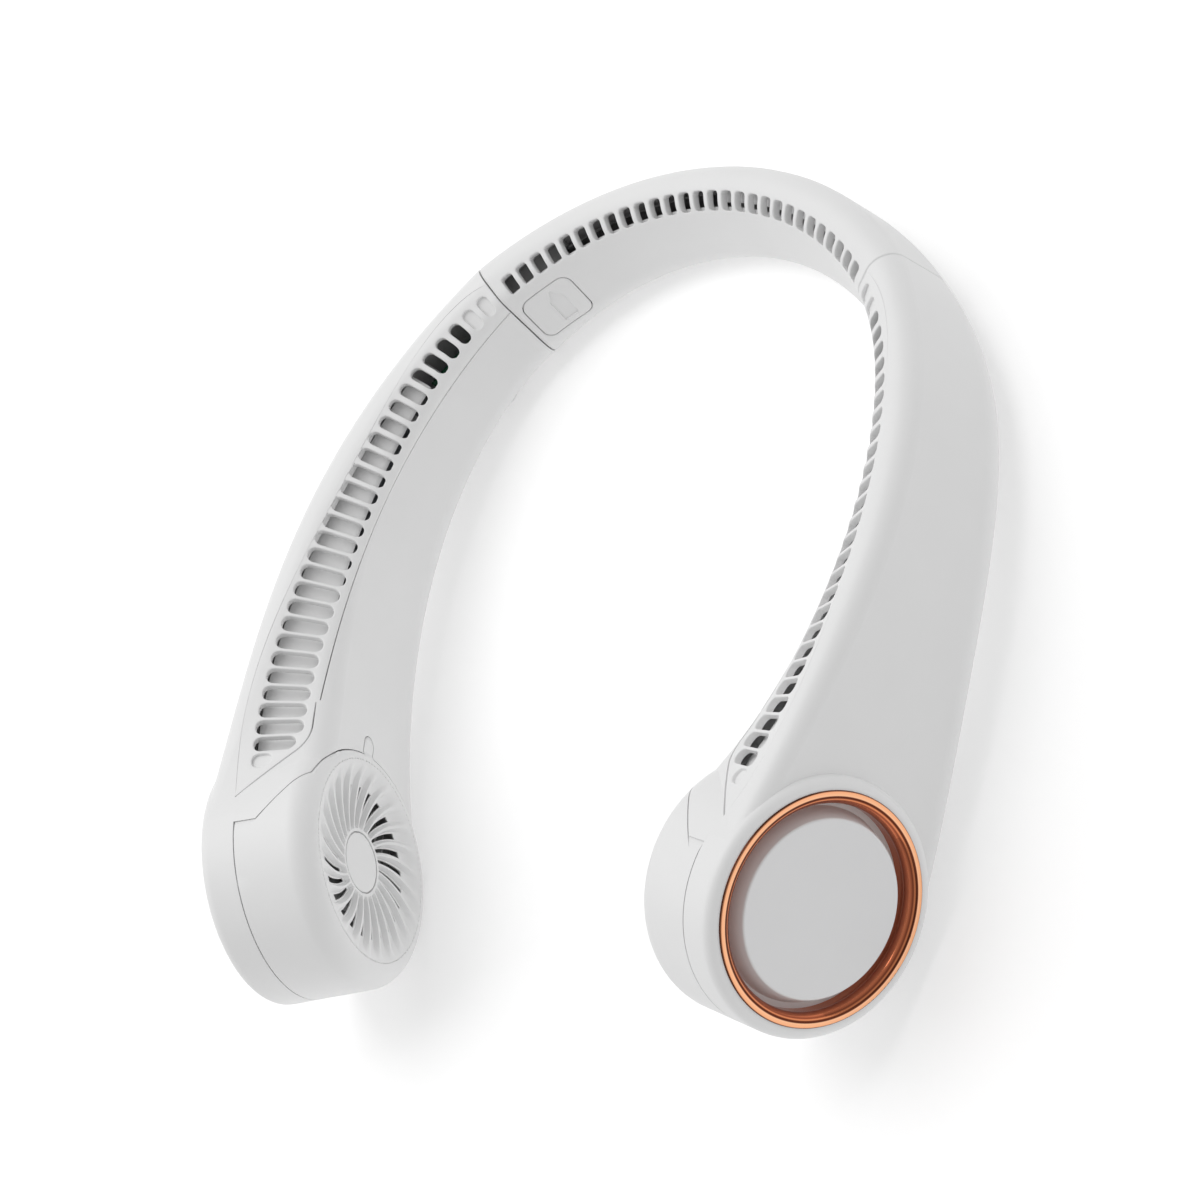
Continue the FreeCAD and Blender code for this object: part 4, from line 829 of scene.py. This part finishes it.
def make_grille():
    """Right grille: a ring of cells, each a slat and a groove that is open over part of its length."""
    panel = Panel(None, GRILLE_THICK)
    radii = np.array(GRILLE_RADII) - GRILLE_GAP
    columns = SLATS * CELL_COLUMNS
    cell = (np.arange(columns) % CELL_COLUMNS) / CELL_COLUMNS
    share = np.abs(cell - 1 / 2) * 2
    twist = SLAT_TURN * (radii - SWIRL_START) / (SWIRL_END - SWIRL_START)
    turn = turns(columns)[None, :] + twist[:, None]
    groove = GROOVE_DEPTH * ease_in(radii, GROOVE_FROM, GROOVE_FULL)
    groove = groove * (1 - ease_in(radii, GROOVE_FALL, GROOVE_END))
    depth = groove[:, None] * (1 - ease_in(share, RIB_INNER_SHARE, RIB_OUTER_SHARE))[None, :]
    level = dish_level(radii)[:, None]
    flat = np.stack([radii[:, None] * np.cos(turn), radii[:, None] * np.sin(turn)], axis=-1)
    top = np.concatenate([flat, (level + depth)[..., None]], axis=-1)
    under = np.concatenate([flat, np.broadcast_to(level + GRILLE_THICK, depth.shape)[..., None]], axis=-1)
    top = np.array(panel.add(fan_place(top.reshape(-1, 3)))).reshape(depth.shape)
    under = np.array(panel.add(fan_place(under.reshape(-1, 3)))).reshape(depth.shape)
    rows = len(radii)
    middle, half = CELL_COLUMNS // 2, OPEN_COLUMNS // 2
    first, last = GRILLE_RADII.index(OPEN_FROM), GRILLE_RADII.index(OPEN_TO)

    def is_open(i, j):
        return first <= i < last and middle - half <= j % CELL_COLUMNS < middle + half

    for i in range(rows - 1):
        for j in range(columns):
            n = (j + 1) % columns
            if not is_open(i, j):
                panel.faces.append((top[i, j], top[i + 1, j], top[i + 1, n], top[i, n]))
                panel.faces.append((under[i, j], under[i, n], under[i + 1, n], under[i + 1, j]))
                continue
            for (a, b), (c, d), out in (((i, j), (i + 1, j), (i, j - 1)), ((i, n), (i + 1, n), (i, n)),
                                        ((i, j), (i, n), (i - 1, j)), ((i + 1, j), (i + 1, n), (i + 1, j))):
                if not is_open(*out):
                    panel.faces.append((top[a, b], top[c, d], under[c, d], under[a, b]))
    panel.bridge(top[0].tolist(), under[0].tolist())
    panel.bridge(top[-1].tolist(), under[-1].tolist())
    return panel


BOSS_GAP, BOSS_DOME, BOSS_EASE, BOSS_STEPS = 0.3, 0.25, 0.2, 72
BOSS_SHARES, BOSS_HUB_SHARE = (0.12, 0.35, 0.6, 0.8, 0.95), 0.1


def make_boss():
    """Round boss in the middle of the grille, with a gap round it and a foot that carries the slats."""
    panel, floor, rim = Panel(None, GRILLE_THICK), -FACE + GRILLE_DISH, BOSS_RADIUS - BOSS_GAP
    profile = [(rim * share, floor - BOSS_DOME * (1 - share ** 2)) for share in BOSS_SHARES]
    profile += [(rim - BOSS_EASE / 3, floor + BOSS_EASE / 4), (rim, floor + BOSS_EASE),
                (rim, floor + GRILLE_THICK / 2), (BOSS_RADIUS, floor + GRILLE_THICK / 2),
                (BOSS_RADIUS, floor + GRILLE_THICK), (rim * BOSS_HUB_SHARE, floor + GRILLE_THICK)]
    rings = [fan_ring(panel, radius, level, BOSS_STEPS) for radius, level in profile]
    for first, second in zip(rings, rings[1:]):
        panel.bridge(first, second)
    panel.faces += [tuple(rings[0]), tuple(rings[-1])]
    return panel


def make_cover_body(side, mirror):
    """The CAD cover with a round opening in the place of its flat grille."""
    panel = Panel(None, 0)
    rings = [fan_ring(panel, RIM_RADIUS, level, SLATS * CELL_COLUMNS)
             for level in (-FACE - CUT_PAST, -FACE + CUT_PAST)]
    panel.bridge(*rings)
    panel.faces += [tuple(rings[0]), tuple(rings[1])]
    cutter = make_piece(f"{side}_cutter", panel, mirror, MATERIALS["cover_white"])
    source = nodes[f"{side}_intake_cover"]
    body = bpy.data.objects.new(f"{side}_cover_body", source.data.copy())
    bpy.context.scene.collection.objects.link(body)
    body.matrix_world = source.matrix_world.copy()
    cut = body.modifiers.new("opening", "BOOLEAN")
    cut.operation, cut.solver, cut.object = "DIFFERENCE", "EXACT", cutter
    even = body.modifiers.new("even", "WEIGHTED_NORMAL")
    even.keep_sharp = True
    bpy.context.view_layer.update()
    done = bpy.data.meshes.new_from_object(body.evaluated_get(bpy.context.evaluated_depsgraph_get()))
    body.modifiers.clear()
    body.data = done
    bpy.data.objects.remove(cutter)
    return body


# Pale liners a little way below the slots

LINER_DEPTH, LINER_THICK, LINER_START, LINER_STOP, LINER_STEPS = 3.6, 0.7, 92.0, 200.0, 60


def make_liner(skin, runs, rows):
    """Plain band below a skin."""
    panel = Panel(skin, LINER_DEPTH + LINER_THICK)
    across = np.array([rows(run) for run in runs])
    panel.grid(runs, across, np.full(across.shape, LINER_DEPTH))
    panel.close()
    return panel


def arm_liner_rows(run):
    length, _, shift = slot_at(run)
    start = -shift - length / 2
    stop = max(min(start + length, end_curve(run) - END_RIB), start + END_RIB)
    return np.linspace(start, stop, SLOT_ROWS)


def sleeve_liner_rows(_):
    return np.linspace(-REAR_SLOT / 2, REAR_SLOT / 2, SLOT_ROWS)


# All pieces, most of them on the bodies that they ride

SIDES = (("left", True), ("right", False))
BEND_STARTS = {"left": 45.6, "right": 38.0}


def seam_point(turn, mirror):
    """Point of the vent line at a turn, as the part lies."""
    return laid(path(REAR_RADIUS * math.radians(turn))[0] * (-1 if mirror else 1, 1, 1))


def place_pieces():
    arm_skin = strip_skin()
    strip = make_strip(arm_skin)
    liner = make_liner(arm_skin, np.linspace(LINER_START, LINER_STOP, LINER_STEPS), arm_liner_rows)
    skin = sleeve_skin()
    flap = make_flap(skin)
    for side, mirror in SIDES:
        piece = make_piece(f"{side}_strip", strip, mirror, MATERIALS["vent_white"])
        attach(piece, f"{side}_arm")
        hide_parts(f"{side}_vent_strip")
        piece = make_piece(f"{side}_duct_liner", liner, mirror, MATERIALS["vent_white"])
        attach(piece, f"{side}_arm")
        half = make_sleeve(skin, mirror)
        piece = make_piece(f"{side}_sleeve", half, mirror, MATERIALS["sleeve_white"])
        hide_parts("rear_sleeve")
        start, end = (seam_point(turn, mirror) for turn in (BEND_STARTS[side], SEAM_TURN))
        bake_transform(piece)
        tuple(start)
        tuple(end)
    liner = make_liner(skin, np.linspace(LINER_DEPTH, SEAM_AT - LINER_DEPTH, LINER_STEPS), sleeve_liner_rows)
    piece = make_piece("sleeve_liner", liner, False, MATERIALS["sleeve_white"])
    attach(piece, "center")
    grille, boss = make_grille(), make_boss()
    for side, mirror in SIDES:
        pieces = [make_piece(f"{side}_grille", grille, mirror, MATERIALS["cover_white"]),
                  make_piece(f"{side}_boss", boss, mirror, MATERIALS["cover_white"]),
                  make_cover_body(side, mirror)]
        for piece in pieces:
            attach(piece, f"{side}_cover")
            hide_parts(f"{side}_intake_cover")
    piece = make_piece("flap", flap, True, MATERIALS["sleeve_white"])
    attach(piece, "port_flap")
    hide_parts("port_flap")


place_pieces()

# Studio: pale floor, soft lamps and a white backdrop

FLOOR_SIDE, FLOOR_GREY, FLOOR_ROUGH, FLOOR_SHINE, FLOOR_GLOW = 6.0, 0.9, 0.9, 0.1, 0.25
WHITE = (1.0, 1.0, 1.0, 1.0)
LAMPS = {
    "over": {"at": (-0.45, 0.45, 1.6), "side": 1.4, "power": 13.5},
    "left": {"at": (-1.3, -0.3, 1.0), "side": 1.0, "power": 3.0},
}
SKY_LIGHT = 0.53


def add_floor():
    half = FLOOR_SIDE / 2
    ends = [(-half, -half, 0), (half, -half, 0), (half, half, 0), (-half, half, 0)]
    mesh = bpy.data.meshes.new("floor")
    mesh.from_pydata(ends, [], [(0, 1, 2, 3)])
    floor = bpy.data.objects.new("floor", mesh)
    bpy.context.scene.collection.objects.link(floor)
    material, _, shader = new_material("floor_pale")
    shader.inputs["Base Color"].default_value = (FLOOR_GREY, FLOOR_GREY, FLOOR_GREY, 1.0)
    shader.inputs["Roughness"].default_value = FLOOR_ROUGH
    shader.inputs["Specular IOR Level"].default_value = FLOOR_SHINE
    shader.inputs["Emission Color"].default_value = WHITE
    shader.inputs["Emission Strength"].default_value = FLOOR_GLOW
    mesh.materials.append(material)


def add_lamps():
    for name, lamp in LAMPS.items():
        data = bpy.data.lights.new(name, "AREA")
        data.size, data.energy = lamp["side"], lamp["power"]
        light = bpy.data.objects.new(name, data)
        bpy.context.scene.collection.objects.link(light)
        light.location = lamp["at"]
        light.rotation_euler = (-Vector(lamp["at"])).to_track_quat("-Z", "Y").to_euler()


def add_sky():
    world = bpy.data.worlds.new("studio")
    world.use_nodes = True
    tree = world.node_tree
    tree.nodes.clear()
    light = add_node(tree, "ShaderNodeBackground", Color=WHITE, Strength=SKY_LIGHT)
    white = add_node(tree, "ShaderNodeBackground", Color=WHITE, Strength=1.0)
    rays = tree.nodes.new("ShaderNodeLightPath")
    mix, out = tree.nodes.new("ShaderNodeMixShader"), tree.nodes.new("ShaderNodeOutputWorld")
    link(tree, rays.outputs["Is Camera Ray"], mix.inputs["Fac"])
    link(tree, light.outputs["Background"], mix.inputs[1])
    link(tree, white.outputs["Background"], mix.inputs[2])
    link(tree, mix.outputs["Shader"], out.inputs["Surface"])
    bpy.context.scene.world = world


add_camera()
add_floor()
add_lamps()
add_sky()
bpy.context.scene.view_settings.view_transform = "Standard"
